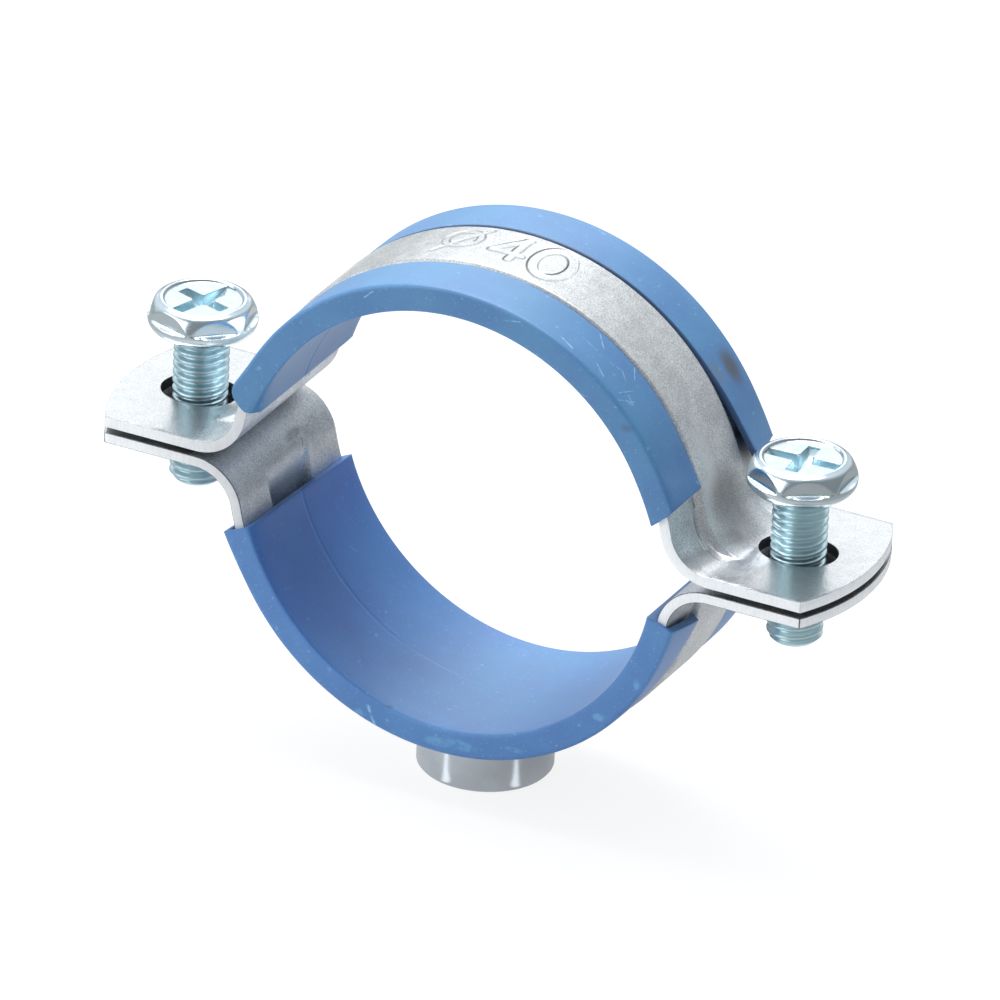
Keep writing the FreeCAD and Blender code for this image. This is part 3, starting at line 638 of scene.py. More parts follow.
def boss_mesh():
    """The turned boss from its bottom face up its side to the strap and down its thread."""
    around = 128
    rows = []

    def ring(radius, height, top_share=0.0):
        """A turned ring, lifted by a share of the way up to the band that it is welded to."""
        points = []
        for j in range(around):
            a = 2 * math.pi * j / around
            x, y = radius * math.cos(a), radius * math.sin(a)
            crown = AXIS_HEIGHT - math.sqrt(SADDLE**2 - x**2)
            points.append((x, y, blend(height, crown, top_share)))
        rows.append(points)

    for radius, z in BOSS_FOOT:
        ring(radius, z)
    for z in (0.5, 1.5, 2.5, 3.5, BOSS_WELD):
        ring(BOSS_RADIUS, z)
    for radius, share in ((6.1, 0.9), (6.06, 0.98), (6.0, 1.0), (5.4, 1.0), (BOSS_RELIEF, 1.0)):
        ring(radius, BOSS_WELD, share)
    ring(BOSS_RELIEF, BOSS_WELD - 0.2)
    for z in np.linspace(4.08, 0.02, 66):
        points = []
        mouth = BOSS_ROOT + 0.42 - z
        for j in range(around):
            a = 2 * math.pi * j / around
            r = max(thread_radius(z / BOSS_PITCH - j / around, BOSS_CREST, BOSS_ROOT), mouth)
            points.append((r * math.cos(a), r * math.sin(a), float(z)))
        rows.append(points)
    vertices = [p for row in rows for p in row]
    return vertices, grid_faces(len(rows), around, closed=True, joined=True)


# Materials
class Nodes:
    """Short names for making and joining shader nodes."""

    def __init__(self, name, owners=bpy.data.materials, output="OutputMaterial"):
        """Make a new material, or a world, with an empty tree."""
        self.owner = owners.new(name)
        self.owner.use_nodes = True
        self.tree = self.owner.node_tree
        self.tree.nodes.clear()
        self.output = self.add(output)

    def fill(self, slot, source):
        """Join a socket to another one, or give it a number, vector or colour."""
        if isinstance(source, bpy.types.NodeSocket):
            self.tree.links.new(source, slot)
        else:
            slot.default_value = source

    def add(self, kind, settings=None, **inputs):
        """A shader node with its settings. Inputs go by name, or by place as i0, i1 and so on."""
        node = self.tree.nodes.new("ShaderNode" + kind)
        for key, setting in (settings or {}).items():
            setattr(node, key, setting)
        for key, source in inputs.items():
            numbered = key[0] == "i" and key[1:].isdigit()
            self.fill(node.inputs[int(key[1:]) if numbered else key.replace("_", " ")], source)
        return node

    def place(self):
        """The object's own coordinates, which are metres in the part's frame at rest."""
        return self.add("TexCoord").outputs["Object"]

    def math(self, operation, a, b=0.0, c=0.0, clamp=False):
        settings = {"operation": operation, "use_clamp": clamp}
        return self.add("Math", settings, i0=a, i1=b, i2=c).outputs[0]

    def fold(self, operation, first, *others):
        """The first number joined with each of the others in turn."""
        for other in others:
            first = self.math(operation, first, other)
        return first

    def times(self, *factors):
        return self.fold("MULTIPLY", *factors)

    def vector(self, operation, a, **inputs):
        """What a vector node gives; a length, distance or dot product is a number."""
        node = self.add("VectorMath", {"operation": operation}, i0=a, **inputs)
        is_number = operation in ("LENGTH", "DISTANCE", "DOT_PRODUCT")
        return node.outputs["Value" if is_number else "Vector"]

    def scaled(self, vector, factor):
        return self.vector("SCALE", vector, Scale=factor)

    def shifted(self, place, seed):
        """A place moved by a seed, so that each material has its own part of the noise."""
        return self.vector("ADD", place, i1=(seed, seed * 2, seed * 3))

    def split(self, vector):
        return self.add("SeparateXYZ", None, i0=vector).outputs

    def flat(self, x, y):
        return self.add("CombineXYZ", None, X=x, Y=y).outputs[0]

    def between(self, factor, low, high, first=0.0, last=1.0, kind="SMOOTHSTEP"):
        """A smooth step from first at low to last at high, and no further."""
        inputs = {"i0": factor, "i1": low, "i2": high, "i3": first, "i4": last}
        return self.add("MapRange", {"interpolation_type": kind}, **inputs).outputs[0]

    def straight(self, factor, low, high, first=0.0, last=1.0):
        return self.between(factor, low, high, first, last, "LINEAR")

    def noise(self, vector, scale, detail=2.0, roughness=0.5):
        inputs = {"Vector": vector, "Scale": scale, "Detail": detail, "Roughness": roughness}
        return self.add("TexNoise", None, **inputs).outputs["Fac"]

    def ramp(self, factor, *stops):
        """A colour ramp; each stop is a place and a grey or a colour."""
        node = self.add("ValToRGB", None, Fac=factor)
        elements = node.color_ramp.elements
        while len(elements) < len(stops):
            elements.new(0.5)
        for element, (position, colour) in zip(elements, stops):
            element.position = position
            element.color = (*(colour if isinstance(colour, tuple) else (colour,) * 3), 1.0)
        return node.outputs["Color"]

    def mix(self, factor, a, b, blend_type="MIX"):
        """Two colours mixed; a constant colour is given as three numbers."""
        node = self.add("Mix", {"data_type": "RGBA", "blend_type": blend_type}, i0=factor)
        for slot, source in ((node.inputs[6], a), (node.inputs[7], b)):
            self.fill(slot, (*source, 1.0) if isinstance(source, tuple) else source)
        return node.outputs[2]

    def tinted(self, colour, tint):
        """A colour times another."""
        return self.mix(1.0, colour, tint, "MULTIPLY")

    def shaded(self, colour, amount):
        """A colour taken towards black."""
        return self.mix(amount, colour, (0.0, 0.0, 0.0))

    def bump(self, height, strength, distance, normal=None):
        inputs = {"Height": height, "Strength": strength, "Distance": distance}
        if normal is not None:
            inputs["Normal"] = normal
        return self.add("Bump", None, **inputs).outputs["Normal"]

    def finish(self, kind, **inputs):
        """Join the last shader to the surface and return the material or world."""
        shader = self.add(kind, None, **inputs).outputs[0]
        self.tree.links.new(shader, self.output.inputs["Surface"])
        return self.owner

    def principled(self, **inputs):
        return self.finish("BsdfPrincipled", **inputs)


def stroke(n, point, start, end, half_width=0.0):
    """Signed distance to a straight stroke, negative inside it."""
    start, end = (*start, 0.0)[:3], (*end, 0.0)[:3]
    along = tuple(b - a for a, b in zip(start, end))
    square = sum(a * a for a in along)
    offset = n.vector("SUBTRACT", point, i1=start)
    dot = n.vector("DOT_PRODUCT", offset, i1=along)
    share = n.math("DIVIDE", dot, square, clamp=True)
    foot = n.scaled(along, share)
    gap = n.vector("DISTANCE", offset, i1=foot)
    return n.math("SUBTRACT", gap, half_width)


def oval(n, point, centre, outer, inner):
    """Signed distance to an oval ring, negative inside its stroke."""
    offset = n.vector("SUBTRACT", point, i1=(*centre, 0.0))
    sides = []
    for half, sign in ((outer, 1.0), (inner, -1.0)):
        length = n.vector("LENGTH", n.vector("DIVIDE", offset, i1=(*half, 1.0)))
        reach = sign * (half[0] + half[1]) / 2
        sides.append(n.math("MULTIPLY_ADD", length, reach, -reach))
    return n.math("MAXIMUM", sides[0], sides[1])


def size_mark(n, place):
    """The pipe size pressed into the band's top: how deep a point lies in its strokes, 0 to 1."""
    x, y, z = n.split(place)
    lifted = n.math("SUBTRACT", z, AXIS_HEIGHT * MM)
    point = n.flat(n.times(n.math("ARCTAN2", x, lifted), RING_BAND), n.math("DIVIDE", y, MM))
    nearest = n.fold(
        "MINIMUM",
        oval(n, point, (4.37, 0.35), (2.1, 3.05), (1.15, 1.95)),
        stroke(n, point, (1.0, 2.6), (-1.3, -0.3), 0.42),
        stroke(n, point, (-1.3, -0.42), (1.6, -0.42), 0.36),
        stroke(n, point, (0.85, 2.6), (0.85, -1.5), 0.42),
        oval(n, point, (-4.75, 0.9), (1.95, 1.9), (1.25, 1.2)),
        stroke(n, point, (-6.5, -1.8), (-2.95, 3.0), 0.26),
    )
    return n.between(nearest, 0.15, -0.15)


def patch(n, point, centre, radii, edge=0.45):
    """How much a point lies in a soft oval patch, 0 to 1."""
    offset = n.vector("SUBTRACT", point, i1=centre)
    length = n.vector("LENGTH", n.vector("DIVIDE", offset, i1=radii))
    return n.between(length, 1.0, edge)


def screw_distance(n, place):
    """Distance from the nearer screw's axis and height, both in millimetres."""
    x, y, z = n.split(place)
    out = n.math("SUBTRACT", n.math("ABSOLUTE", x), SCREW_REACH * MM)
    length = n.vector("LENGTH", n.flat(out, y))
    return n.math("DIVIDE", length, MM), n.math("DIVIDE", z, MM)


# Dark places on the sheet, millimetres in the part's frame at rest: a painted shadow under the back
# lip's end, and a dark patch at the lower left bend
SHEET_SHADES = (
    ((20.9, 6.3, 35.2), (1.8, 2.3, 3.4), 0.85),
    ((-21.5, 2.6, 25.6), (0.9, 1.9, 0.5), 0.3),
)
# Painted highlights and painted shade along the creases and at the bends: ends, half width,
# strength and whether pale (a painted highlight) or dark (painted shade)
SHEET_HIGHLIGHTS_AND_SHADES = (
    ((20.1, -1.6, 38.1), (21.6, -1.5, 34.6), 1.5, 0.6, True),
    ((21.6, -2.6, 34.2), (22.1, -3.7, 30.9), 1.2, 0.42, True),
    ((22.4, 0.0, 32.6), (24.2, -0.3, 29.8), 3.5, 0.5, False),
    ((23.1, -8.8, 29.4), (23.7, -5.4, 29.4), 1.4, 0.5, False),
    ((23.9, -3.4, 29.8), (24.3, -1.8, 29.6), 1.3, 0.42, False),
    ((26.2, -6.4, 28.9), (26.9, -3.3, 28.9), 1.9, 0.9, True),
    ((21.28, -5.05, 32.7), (21.72, -4.95, 31.18), 0.15, 0.65, True),
    ((21.72, -4.95, 31.18), (22.3, -5.15, 30.21), 0.15, 0.75, True),
    ((22.3, -5.15, 30.21), (23.04, -5.4, 29.54), 0.14, 0.75, True),
    ((22.17, -4.5, 30.37), (23.18, -5.15, 29.46), 0.14, 0.8, True),
    ((21.1, -4.35, 33.52), (21.32, -4.3, 32.67), 0.16, 0.6, False),
    ((21.45, -4.6, 31.9), (21.62, -4.7, 31.35), 0.1, 0.45, False),
    ((21.62, -4.7, 31.35), (22.2, -4.95, 30.35), 0.11, 0.6, False),
    ((23.18, -5.25, 29.45), (24.52, -5.55, 28.93), 0.12, 0.55, False),
    ((-20.73, 4.3, 24.31), (-20.07, 4.2, 21.81), 0.45, 0.35, True),
    ((-21.05, 3.4, 24.9), (-20.48, 3.0, 23.48), 0.16, 0.45, False),
    ((-20.48, 3.0, 23.48), (-20.14, 2.95, 21.97), 0.16, 0.45, False),
)


def galvanised(name, seed, marked=False):
    """Mottled zinc coated sheet, dull where it was bent and bright on the ears, with painted light
    and shade.
    """
    n = Nodes(name)
    place = n.place()
    x, _, z = n.split(place)
    reach = n.math("DIVIDE", n.math("ABSOLUTE", x), MM)
    rise = n.math("DIVIDE", n.math("SUBTRACT", z, AXIS_HEIGHT * MM), 25 * MM, clamp=True)
    ear = n.between(reach, 24.0, 26.5)

    moved = n.shifted(place, seed)
    grain = n.noise(moved, 5200.0, 3.0, 0.65)
    blotch = n.noise(moved, 900.0, 4.0, 0.6)
    cloud = n.noise(moved, 160.0, 3.0, 0.55)
    colour = n.ramp(
        blotch, (0.3, (0.56, 0.58, 0.59)), (0.55, (0.66, 0.67, 0.675)), (0.75, (0.74, 0.75, 0.75))
    )
    clouded = n.ramp(cloud, (0.3, (0.52, 0.55, 0.56)), (0.7, (0.78, 0.79, 0.78)))
    colour = n.mix(0.28, colour, clouded)
    speck = n.ramp(grain, (0.36, 0.0), (0.62, 1.0))
    colour = n.mix(n.times(speck, 0.35), colour, (0.86, 0.87, 0.87))

    dull = n.ramp(n.noise(moved, 330.0, 3.0, 0.6), (0.38, 0.95), (0.6, 1.07))
    # Painted light and shade by height on the upper strap: lighter partway up the ring, darker at
    # its top
    tone = n.ramp(
        rise, (0.0, (0.95, 0.96, 0.98)), (0.35, (1.26, 1.28, 1.31)), (0.65, 1.02), (0.9, 0.8)
    )
    dull = n.mix(ear, n.tinted(dull, tone), (0.81, 0.81, 0.815))
    # Painted shade on the lower strap's bends, where they turn into the ears
    lower = n.between(z, (AXIS_HEIGHT + 0.5) * MM, (AXIS_HEIGHT - 0.5) * MM)
    painted_bend_shade = n.times(n.between(reach, 22.0, 24.5), n.between(reach, 29.0, 26.0), lower)
    dull = n.shaded(dull, n.times(painted_bend_shade, 0.26))
    pepper = n.ramp(n.noise(moved, 7000.0, 2.0, 0.8), (0.36, 0.72), (0.5, 1.0), (0.64, 1.22))
    pepper = n.mix(n.times(ear, 0.45), pepper, (1.0, 1.0, 1.0))
    colour = n.tinted(colour, n.tinted(dull, pepper))
    # Painted shade on the upper strap's top, left of the middle
    left = n.times(n.between(x, -3 * MM, -8 * MM), n.between(rise, 0.6, 0.85))
    colour = n.shaded(colour, n.times(left, 0.15))

    point = n.scaled(place, 1 / MM)
    # A painted shadow under the back lip's end, and a dark patch at the lower left bend
    for centre, radii, strength in SHEET_SHADES:
        spot = n.times(patch(n, point, centre, radii, 0.4), strength)
        colour = n.mix(spot, colour, (0.025, 0.022, 0.03))
    # Painted highlights and painted shade along the creases and at the bends
    for start, end, half_width, strength, pale in SHEET_HIGHLIGHTS_AND_SHADES:
        streak = n.between(stroke(n, point, start, end), half_width, half_width * 0.25)
        tone = (0.9, 0.94, 0.97) if pale else (0.13, 0.135, 0.15)
        colour = n.mix(n.times(streak, strength), colour, tone)

    # The shade in the gap between the ears, round the screws
    distance, level = screw_distance(n, place)
    near = n.times(n.between(distance, 3.9, 3.0), 0.72)
    top_face = n.times(
        n.between(level, AXIS_HEIGHT + 0.2, AXIS_HEIGHT - 0.1),
        n.between(level, AXIS_HEIGHT - 0.9, AXIS_HEIGHT - 0.6),
    )
    colour = n.mix(n.times(near, top_face), colour, (0.05, 0.05, 0.055))

    rough = n.math("ADD", n.times(blotch, 0.2), n.math("MULTIPLY_ADD", grain, 0.16, 0.01))
    rough = n.math("MULTIPLY_ADD", n.math("SUBTRACT", 1.0, ear), 0.22, rough)
    metal = n.math("MULTIPLY_ADD", ear, 0.1, 0.74)
    normal = n.bump(grain, 0.22, 0.00008)
    normal = n.bump(blotch, 0.18, 0.00022, normal)
    if marked:
        normal = n.bump(n.times(size_mark(n, place), -1.0), 1.0, 0.00022, normal)
    return n.principled(Base_Color=colour, Metallic=metal, Roughness=rough, Normal=normal)


def sheared_edge(name):
    """The strap's cut edge: bare, paler and streaked across the sheet."""
    n = Nodes(name)
    place = n.place()
    streak = n.add("Mapping", None, Vector=place, Scale=(1.0, 1.0, 0.25)).outputs[0]
    lines = n.noise(streak, 3800.0, 3.0, 0.6)
    colour = n.ramp(lines, (0.3, (0.9, 0.9, 0.91)), (0.65, (0.985, 0.985, 0.985)))
    # Painted shade: the cut edges darker on the left side
    along = n.math("MULTIPLY_ADD", n.split(place)[0], 12.5, 0.5)
    colour = n.tinted(colour, n.ramp(along, (0.12, 0.98), (0.22, 0.74), (0.45, 0.9), (0.75, 1.0)))
    # Painted shade on the walls of the ears' slots and holes
    distance, _ = screw_distance(n, place)
    colour = n.mix(n.between(distance, 4.2, 3.7), colour, (0.05, 0.045, 0.05))
    rough = n.math("MULTIPLY_ADD", lines, 0.2, 0.4)
    normal = n.bump(lines, 0.25, 0.00006)
    return n.principled(Base_Color=colour, Metallic=0.03, Roughness=rough, Normal=normal)


def shaded_corner(name):
    """The narrow rounded corners of the strap's edges, darker than the faces beside them: painted
    shade along the edges.
    """
    n = Nodes(name)
    grain = n.noise(n.place(), 3000.0, 3.0, 0.6)
    colour = n.ramp(grain, (0.35, (0.1, 0.105, 0.11)), (0.65, (0.34, 0.35, 0.36)))
    rough = n.math("MULTIPLY_ADD", grain, 0.2, 0.3)
    normal = n.bump(grain, 0.2, 0.00006)
    return n.principled(Base_Color=colour, Metallic=1.0, Roughness=rough, Normal=normal)


# Marks on the rubber, millimetres in the part's frame at rest
RUBBED_SPOTS = (
    ((-0.2, -9.4, 6.2), (1.8, 0.9, 0.6)),
    ((2.2, -9.4, 6.4), (2.2, 0.9, 0.65)),
    ((7.5, -9.4, 7.4), (1.2, 0.8, 0.35)),
    ((15.5, -9.4, 12.8), (0.9, 0.8, 0.5)),
    ((19.0, -9.4, 17.0), (0.4, 0.8, 0.7)),
    ((-7.9, -9.4, 6.8), (0.6, 0.8, 0.7)),
    ((-17.5, -9.4, 12.9), (0.5, 0.8, 1.2)),
)
SCRATCHES = (
    ((-7.08, -9.4, 7.87), (-6.33, -9.4, 6.22), 0.16),
    ((10.89, -6.48, 47.36), (12.29, -6.52, 46.52), 0.07),
    ((11.53, -4.42, 46.99), (12.64, -5.76, 46.29), 0.06),
    ((9.58, -8.35, 48.03), (10.99, -8.64, 47.3), 0.1),
    ((12.99, -7.85, 46.05), (14.12, -8.55, 45.2), 0.06),
    ((14.89, -4.2, 44.55), (15.51, -5.37, 43.98), 0.07),
    ((15.5, -8.3, 44.0), (15.95, -6.6, 43.55), 0.03),
    ((15.8, -9.0, 43.7), (16.55, -7.3, 42.95), 0.035),
    ((15.95, -7.4, 43.55), (16.9, -7.9, 42.6), 0.03),
    ((13.6, -6.4, 45.6), (14.6, -5.9, 44.8), 0.03),
    ((14.6, -5.9, 44.8), (15.3, -6.6, 44.2), 0.03),
    ((4.5, -9.4, 48.6), (6.2, -9.4, 48.9), 0.05),
    ((-9.0, -9.4, 47.3), (-8.2, -9.4, 48.1), 0.05),
    ((2.0, 3.0, 7.75), (6.5, 3.6, 8.7), 0.04),
    ((-3.0, -4.0, 7.85), (1.0, -3.6, 7.65), 0.04),
)
SMUDGES_AND_EDGE_SHADE = (
    ((18.4, 7.4, 40.6), (2.3, 1.65, 2.7), (0.072, 0.085, 0.108), 0.92),
    ((18.3, 5.0, 40.8), (1.6, 1.1, 2.6), (0.13, 0.17, 0.23), 0.55),
    ((16.9, -9.4, 41.4), (0.9, 0.7, 0.5), (0.06, 0.12, 0.26), 0.7),
    # Painted shade along the lower lining's front inner edge
    ((-4.7, -9.4, 8.25), (1.1, 0.7, 0.16), (0.05, 0.09, 0.2), 0.7),
)


def rubber(name, seed):
    """Matte blue rubber with fine pale specks, scratches and a few rubbed spots."""
    n = Nodes(name)
    place = n.place()
    moved = n.shifted(place, seed)
    cloud = n.noise(moved, 170.0, 4.0, 0.6)
    fine = n.noise(moved, 2400.0, 3.0, 0.6)
    specks = n.ramp(n.noise(moved, 4200.0), (0.66, 0.0), (0.75, 1.0))
    dust = n.ramp(n.noise(moved, 1500.0, 1.0), (0.72, 0.0), (0.77, 1.0))
    teal = n.ramp(n.noise(moved, 75.0), (0.42, 0.0), (0.62, 0.45))
    colour = n.ramp(cloud, (0.3, (0.045, 0.17, 0.415)), (0.7, (0.072, 0.242, 0.495)))
    colour = n.mix(teal, colour, (0.06, 0.245, 0.435))
    colour = n.mix(n.times(fine, 0.2), colour, (0.1, 0.27, 0.52))
    colour = n.mix(n.times(specks, 0.28), colour, (0.45, 0.68, 0.88))
    colour = n.mix(n.times(dust, 0.22), colour, (0.4, 0.66, 0.88))

    # The line in the bore, the lower half's bluer tone, painted shade and a painted sheen across
    # its bore, and a painted shadow along the back lip's border
    point = n.scaled(place, 1 / MM)
    x, y, z = n.split(point)
    seam = n.times(n.straight(n.math("ABSOLUTE", y), 0.2, 0.06), n.between(x, 0.0, -9.0))
    colour = n.mix(n.times(seam, 0.75), colour, (0.17, 0.36, 0.64))
    radius = n.vector("LENGTH", n.flat(x, n.math("SUBTRACT", z, AXIS_HEIGHT)))
    bluer = n.tinted(colour, (0.97, 1.0, 1.12))
    colour = n.mix(n.between(z, AXIS_HEIGHT, AXIS_HEIGHT - 8), colour, bluer)
    # Painted shade on the lower bore's left and a painted sheen in its middle
    sweep = n.ramp(
        n.math("MULTIPLY_ADD", x, 0.025, 0.5), (0.05, (0.66, 0.74, 0.93)),
        (0.25, (0.92, 0.96, 1.0)), (0.5, (1.32, 1.2, 1.12)), (0.76, (1.06, 1.04, 1.0)),
    )
    bore = n.times(n.between(radius, 20.5, 20.2), n.between(z, AXIS_HEIGHT, AXIS_HEIGHT - 5))
    colour = n.mix(bore, colour, n.tinted(colour, sweep))
    # A painted shadow along the back lip's border, beside the band
    border = n.times(n.between(y, 4.36, 4.22), n.between(y, 3.5, 4.0), 0.8)
    border = n.times(border, n.between(radius, 21.4, 21.6))
    colour = n.mix(border, colour, (0.014, 0.04, 0.125))

    torn = n.ramp(n.noise(moved, 1300.0, 4.0, 0.7), (0.4, 0.0), (0.58, 1.0))
    rubbed = n.fold("MAXIMUM", *(patch(n, point, *spot) for spot in RUBBED_SPOTS))
    colour = n.mix(n.times(rubbed, torn, 0.55), colour, (0.15, 0.44, 0.7))
    broken = n.ramp(n.noise(moved, 2100.0, 2.0, 0.6), (0.4, 0.15), (0.55, 1.0))
    scratched = 0.0
    for start, end, half_width in SCRATCHES:
        gap = stroke(n, point, start, end, half_width)
        scratched = n.math("MAXIMUM", scratched, n.straight(gap, 0.03, -half_width * 0.8))
    colour = n.mix(n.times(scratched, broken, 0.72), colour, (0.34, 0.66, 0.88))
    # Smudges, and painted shade along the lower lining's front inner edge
    for centre, radii, tone, strength in SMUDGES_AND_EDGE_SHADE:
        colour = n.mix(n.times(patch(n, point, centre, radii, 0.2), strength), colour, tone)

    rough = n.math("MULTIPLY_ADD", cloud, 0.2, 0.42)
    normal = n.bump(fine, 0.14, 0.00008)
    normal = n.bump(scratched, 0.5, 0.00005, normal)
    return n.principled(
        Base_Color=colour, Roughness=rough, Normal=normal, Specular_IOR_Level=0.7,
        Coat_Weight=0.42, Coat_Roughness=0.36,
        Sheen_Weight=0.1, Sheen_Roughness=0.4, Sheen_Tint=(0.93, 0.86, 1.0, 1.0),
    )


def plated_screw_tones(n, place, moved, colour, rough):
    """A screw's colour and roughness: paler head flank, frosted dish, bluer recess and thread."""
    distance, height = screw_distance(n, place)
    top = HEAD_UNDERSIDE + HEAD_HEIGHT
    paler = n.tinted(colour, (1.09, 1.09, 1.08))
    colour = n.mix(n.between(distance, 3.9, 4.2), colour, paler)
    thread = n.between(height, HEAD_UNDERSIDE + 0.05, HEAD_UNDERSIDE - 0.15)
    # Painted shade: the left screw's thread darker than the right screw's
    along = n.math("MULTIPLY_ADD", n.split(place)[0], 15.0, 0.5, clamp=True)
    colour = n.mix(thread, colour, n.mix(along, (0.55, 0.72, 0.78), (0.74, 0.95, 1.0)))
    within = n.between(distance, 3.6, 3.4)
    frost = n.ramp(
        n.noise(moved, 1500.0, 3.0, 0.6), (0.35, (0.5, 0.57, 0.6)), (0.65, (0.58, 0.62, 0.63))
    )
    colour = n.mix(n.times(within, n.between(height, top - 0.42, top - 0.3)), colour, frost)
    recess = n.times(
        within, n.between(height, top - 0.29, top - 0.4), n.math("SUBTRACT", 1.0, thread)
    )
    colour = n.mix(recess, colour, (0.63, 0.79, 0.85))
    duller = n.math("ADD", thread, recess)
    return colour, n.math("MULTIPLY_ADD", duller, 0.12, rough)


def zinc(name, seed, tint, screw=False):
    """Bright zinc plating."""
    n = Nodes(name)
    place = n.place()
    moved = n.shifted(place, seed)
    cloud = n.noise(moved, 420.0, 4.0, 0.6)
    grain = n.noise(moved, 4200.0, 3.0, 0.6)
    colour = n.ramp(cloud, (0.3, tint), (0.7, tuple(min(1.0, c * 1.1) for c in tint)))
    rough = n.math("MULTIPLY_ADD", grain, 0.12, 0.12)
    if screw:
        colour, rough = plated_screw_tones(n, place, moved, colour, rough)
    soft = n.add("Bevel", {"samples": 4}, Radius=0.00012).outputs["Normal"]
    normal = n.bump(grain, 0.08, 0.00005, soft)
    return n.principled(Base_Color=colour, Metallic=1.0, Roughness=rough, Normal=normal)


def paint(obj, *materials):
    """Give an object its materials and keep which face has which slot."""
    kept = [polygon.material_index for polygon in obj.data.polygons]
    obj.data.materials.clear()
    for material in materials:
        obj.data.materials.append(material)
    obj.data.polygons.foreach_set("material_index", kept)


# Pieces
sheet_skin = galvanised("galvanised_sheet", 0.3)
marked_skin = galvanised("galvanised_sheet_marked", 0.5, marked=True)
edge_skin = sheared_edge("galvanised_cut_edge")
rubber_skin = rubber("blue_rubber", 0.7)
corner_skin = shaded_corner("galvanised_worn_corner")
screw_skin = zinc("zinc_plated_screw", 0.2, (0.64, 0.73, 0.78), screw=True)
boss_skin = zinc("zinc_plated_boss", 0.9, (0.66, 0.72, 0.78))

slot_run = (SLOT_LENGTH - SLOT_WIDTH) / 2
upper_strap = strap_mesh("pressed_upper_strap", slot_run, SLOT_WIDTH / 2, over=1)
lower_strap = strap_mesh("pressed_lower_strap", 0.0, TAPPED_RADIUS, over=-1)
upper_lining = lining_mesh(
    "soft_upper_lining", ends=(13.6, 165.3), slant=1.32, rounds=(0.15, 2.0),
    lip_ends=((0.8, -1.0), (0.8, 0.8)),
    lifts=(((0.5, 18), (1.3, 30)), ((0.4, 16), (0.3, 15))), curls=((0.35, 0.3), (0.9, 0.1)),
    skew=-0.6, borders=(3.97, 4.15), gap=0.36, seed=4,
)
lower_lining = lining_mesh(
    "soft_lower_lining", ends=(-162.9, -11.1), slant=0.36, rounds=(0.1, 0.2),
    lip_ends=((0.4, 0.4), (2.2, 0.6)),
    lifts=(((0.12, 14), (0.12, 12)), ((0.6, 17), (0.5, 14))), curls=((0.45, 0.0), (0.0, 0.0)),
    skew=1.1, borders=(4.15, 4.15), gap=0.0, seed=9,
)
left_screw = screw_object("plated_left_screw", side=-1, turn=72)
right_screw = screw_object("plated_right_screw", side=1, turn=3)
boss = new_object("turned_boss", *boss_mesh(), 40)
recalculate_normals(boss)

upper_skins = (marked_skin, edge_skin, corner_skin)
lower_skins = (sheet_skin, edge_skin, corner_skin)
for piece, body, node, slot, skins in (
    (upper_strap, "upper_half", "upper_strap", "galvanised_sheet", upper_skins),
    (lower_strap, "lower_half", "lower_strap", "galvanised_sheet", lower_skins),
    (upper_lining, "upper_half", "upper_lining", "blue_rubber", (rubber_skin,)),
    (lower_lining, "lower_half", "lower_lining", "blue_rubber", (rubber_skin,)),
    (left_screw, "left_screw", "left_screw", "zinc_plated_screw", (screw_skin,)),
    (right_screw, "right_screw", "right_screw", "zinc_plated_screw", (screw_skin,)),
    (boss, "lower_half", "threaded_boss", "zinc_plated_boss", (boss_skin,)),
):
    paint(piece, *skins)
    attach(piece, body)
    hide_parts(node)


# Floor, lights and camera
AZIMUTH = math.radians(26.252)
ELEVATION = math.radians(26.795)
ROLL = math.radians(2.478)
CAMERA_DISTANCE = 2.0
AIM_HEIGHT, AIM_RIGHT, AIM_UP = 27.325, 0.261, -1.28
SENSOR_WIDTH, FOCAL_LENGTH = 36.0, 822.5

towards = Vector((
    math.sin(AZIMUTH) * math.cos(ELEVATION),
    -math.cos(AZIMUTH) * math.cos(ELEVATION),
    math.sin(ELEVATION),
))
level_right = Vector((math.cos(AZIMUTH), math.sin(AZIMUTH), 0))
level_up = towards.cross(level_right)
right = math.cos(ROLL) * level_right + math.sin(ROLL) * level_up
up = -math.sin(ROLL) * level_right + math.cos(ROLL) * level_up
target = Vector((0, 0, AIM_HEIGHT * MM)) + AIM_RIGHT * MM * right + AIM_UP * MM * up

camera_data = bpy.data.cameras.new("camera")
camera_data.sensor_width = SENSOR_WIDTH
camera_data.lens = FOCAL_LENGTH
camera_data.clip_start = 0.1
camera_data.clip_end = 20.0
camera = add_object("camera", camera_data)
camera.matrix_world = Matrix((right, up, towards)).transposed().to_4x4()
camera.location = target + towards * CAMERA_DISTANCE
bpy.context.scene.camera = camera

# Streaks of light beside the boss, which only its reflections show, millimetres on the floor
FLOOR_STREAKS = (((5.9, -3.84), (13.5, -5.2)), ((-1.5, -6.8), (-6.8, -12.7)))


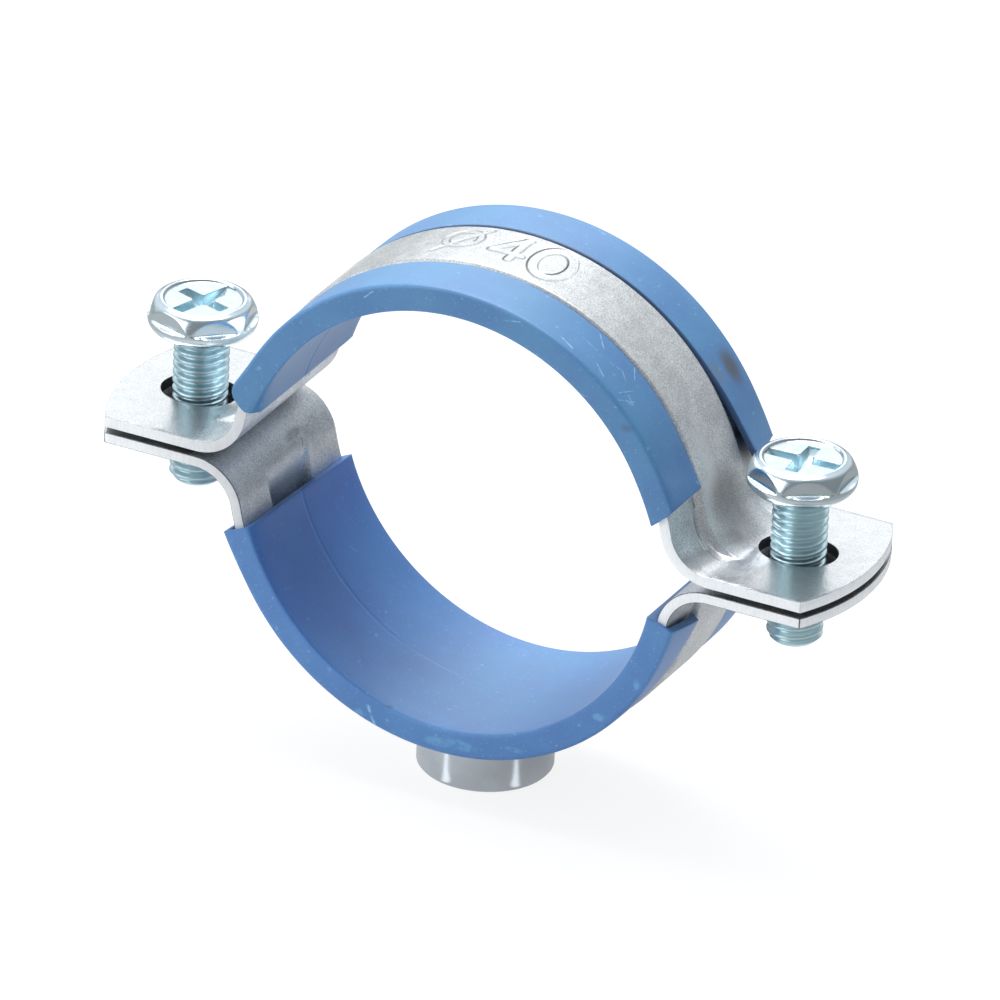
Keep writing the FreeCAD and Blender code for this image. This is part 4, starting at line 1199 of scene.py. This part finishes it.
def floor_white():
    """White where the camera sees it; what the metal reflects of it is a painted glow that fades
    with distance, lighter to the left, with painted shade beside the part.
    """
    f = Nodes("floor_white")
    path = f.add("LightPath").outputs
    seen = path["Is Camera Ray"]
    place = f.place()
    far = f.vector("LENGTH", place)
    across = f.split(place)[0]
    tone = f.ramp(far, (0.012, 0.6), (0.035, 0.8), (0.095, 0.44), (0.7, 0.3))
    tone = f.times(tone, f.straight(across, -0.03, 0.05, 1.08, 0.76))
    near = f.straight(far, 0.022, 0.014)
    shade = f.times(near, f.straight(across, -0.006, 0.01, -0.02, 0.34))
    tone = f.times(tone, f.math("SUBTRACT", 1.0, shade))
    ground = f.scaled(place, 1 / MM)
    for start, end in FLOOR_STREAKS:
        gap = stroke(f, ground, start, end)
        tone = f.math("MULTIPLY_ADD", f.between(gap, 0.85, 0.15), 0.75, tone)
    level = f.math("MULTIPLY_ADD", seen, f.math("SUBTRACT", 1.15, tone), tone)
    glow = f.add("Emission", None, Color=(1, 1, 1, 1), Strength=level).outputs[0]
    matte = f.add("BsdfDiffuse", None, Color=(0.8, 0.81, 0.82, 1)).outputs[0]
    share = f.math("MAXIMUM", f.times(seen, 0.73), f.times(path["Is Glossy Ray"], 0.92))
    return f.finish("MixShader", i0=share, i1=matte, i2=glow)


bpy.ops.mesh.primitive_plane_add(size=6.0, location=(0, 0, -0.00005))
floor = bpy.context.object
floor.name = "floor"
paint(floor, floor_white())


def area_light(name, place, size, power, colour=(1, 1, 1)):
    """A rectangular light aimed at the middle of the part."""
    data = bpy.data.lights.new(name, "AREA")
    data.shape = "RECTANGLE"
    data.size, data.size_y = size
    data.energy = power
    data.color = colour
    obj = add_object(name, data)
    obj.location = place
    aim = Vector((0, 0, 0.03)) - Vector(place)
    obj.rotation_euler = aim.to_track_quat("-Z", "Y").to_euler()


area_light("top_light", (-0.14, 0.12, 0.59), (0.5, 0.45), 3.5)
area_light("back_panel", (-0.42, 0.8, 0.5), (0.75, 0.55), 1.05)
area_light("front_light", (-0.55, -0.68, 0.37), (0.9, 0.6), 3.05, (0.95, 0.98, 1.0))


def pale_sky():
    """A pale world, brighter round one place overhead."""
    w = Nodes("studio", bpy.data.worlds, "OutputWorld")
    direction = w.add("TexCoord").outputs["Generated"]
    overhead = w.vector("DOT_PRODUCT", direction, i1=(-0.45, 0.45, 0.77))
    strength = w.between(overhead, 0.1, 0.88, 0.3, 0.98)
    return w.finish("Background", Color=(0.84, 0.9, 0.95, 1), Strength=strength)


bpy.context.scene.world = pale_sky()
bpy.context.scene.view_settings.view_transform = "Standard"
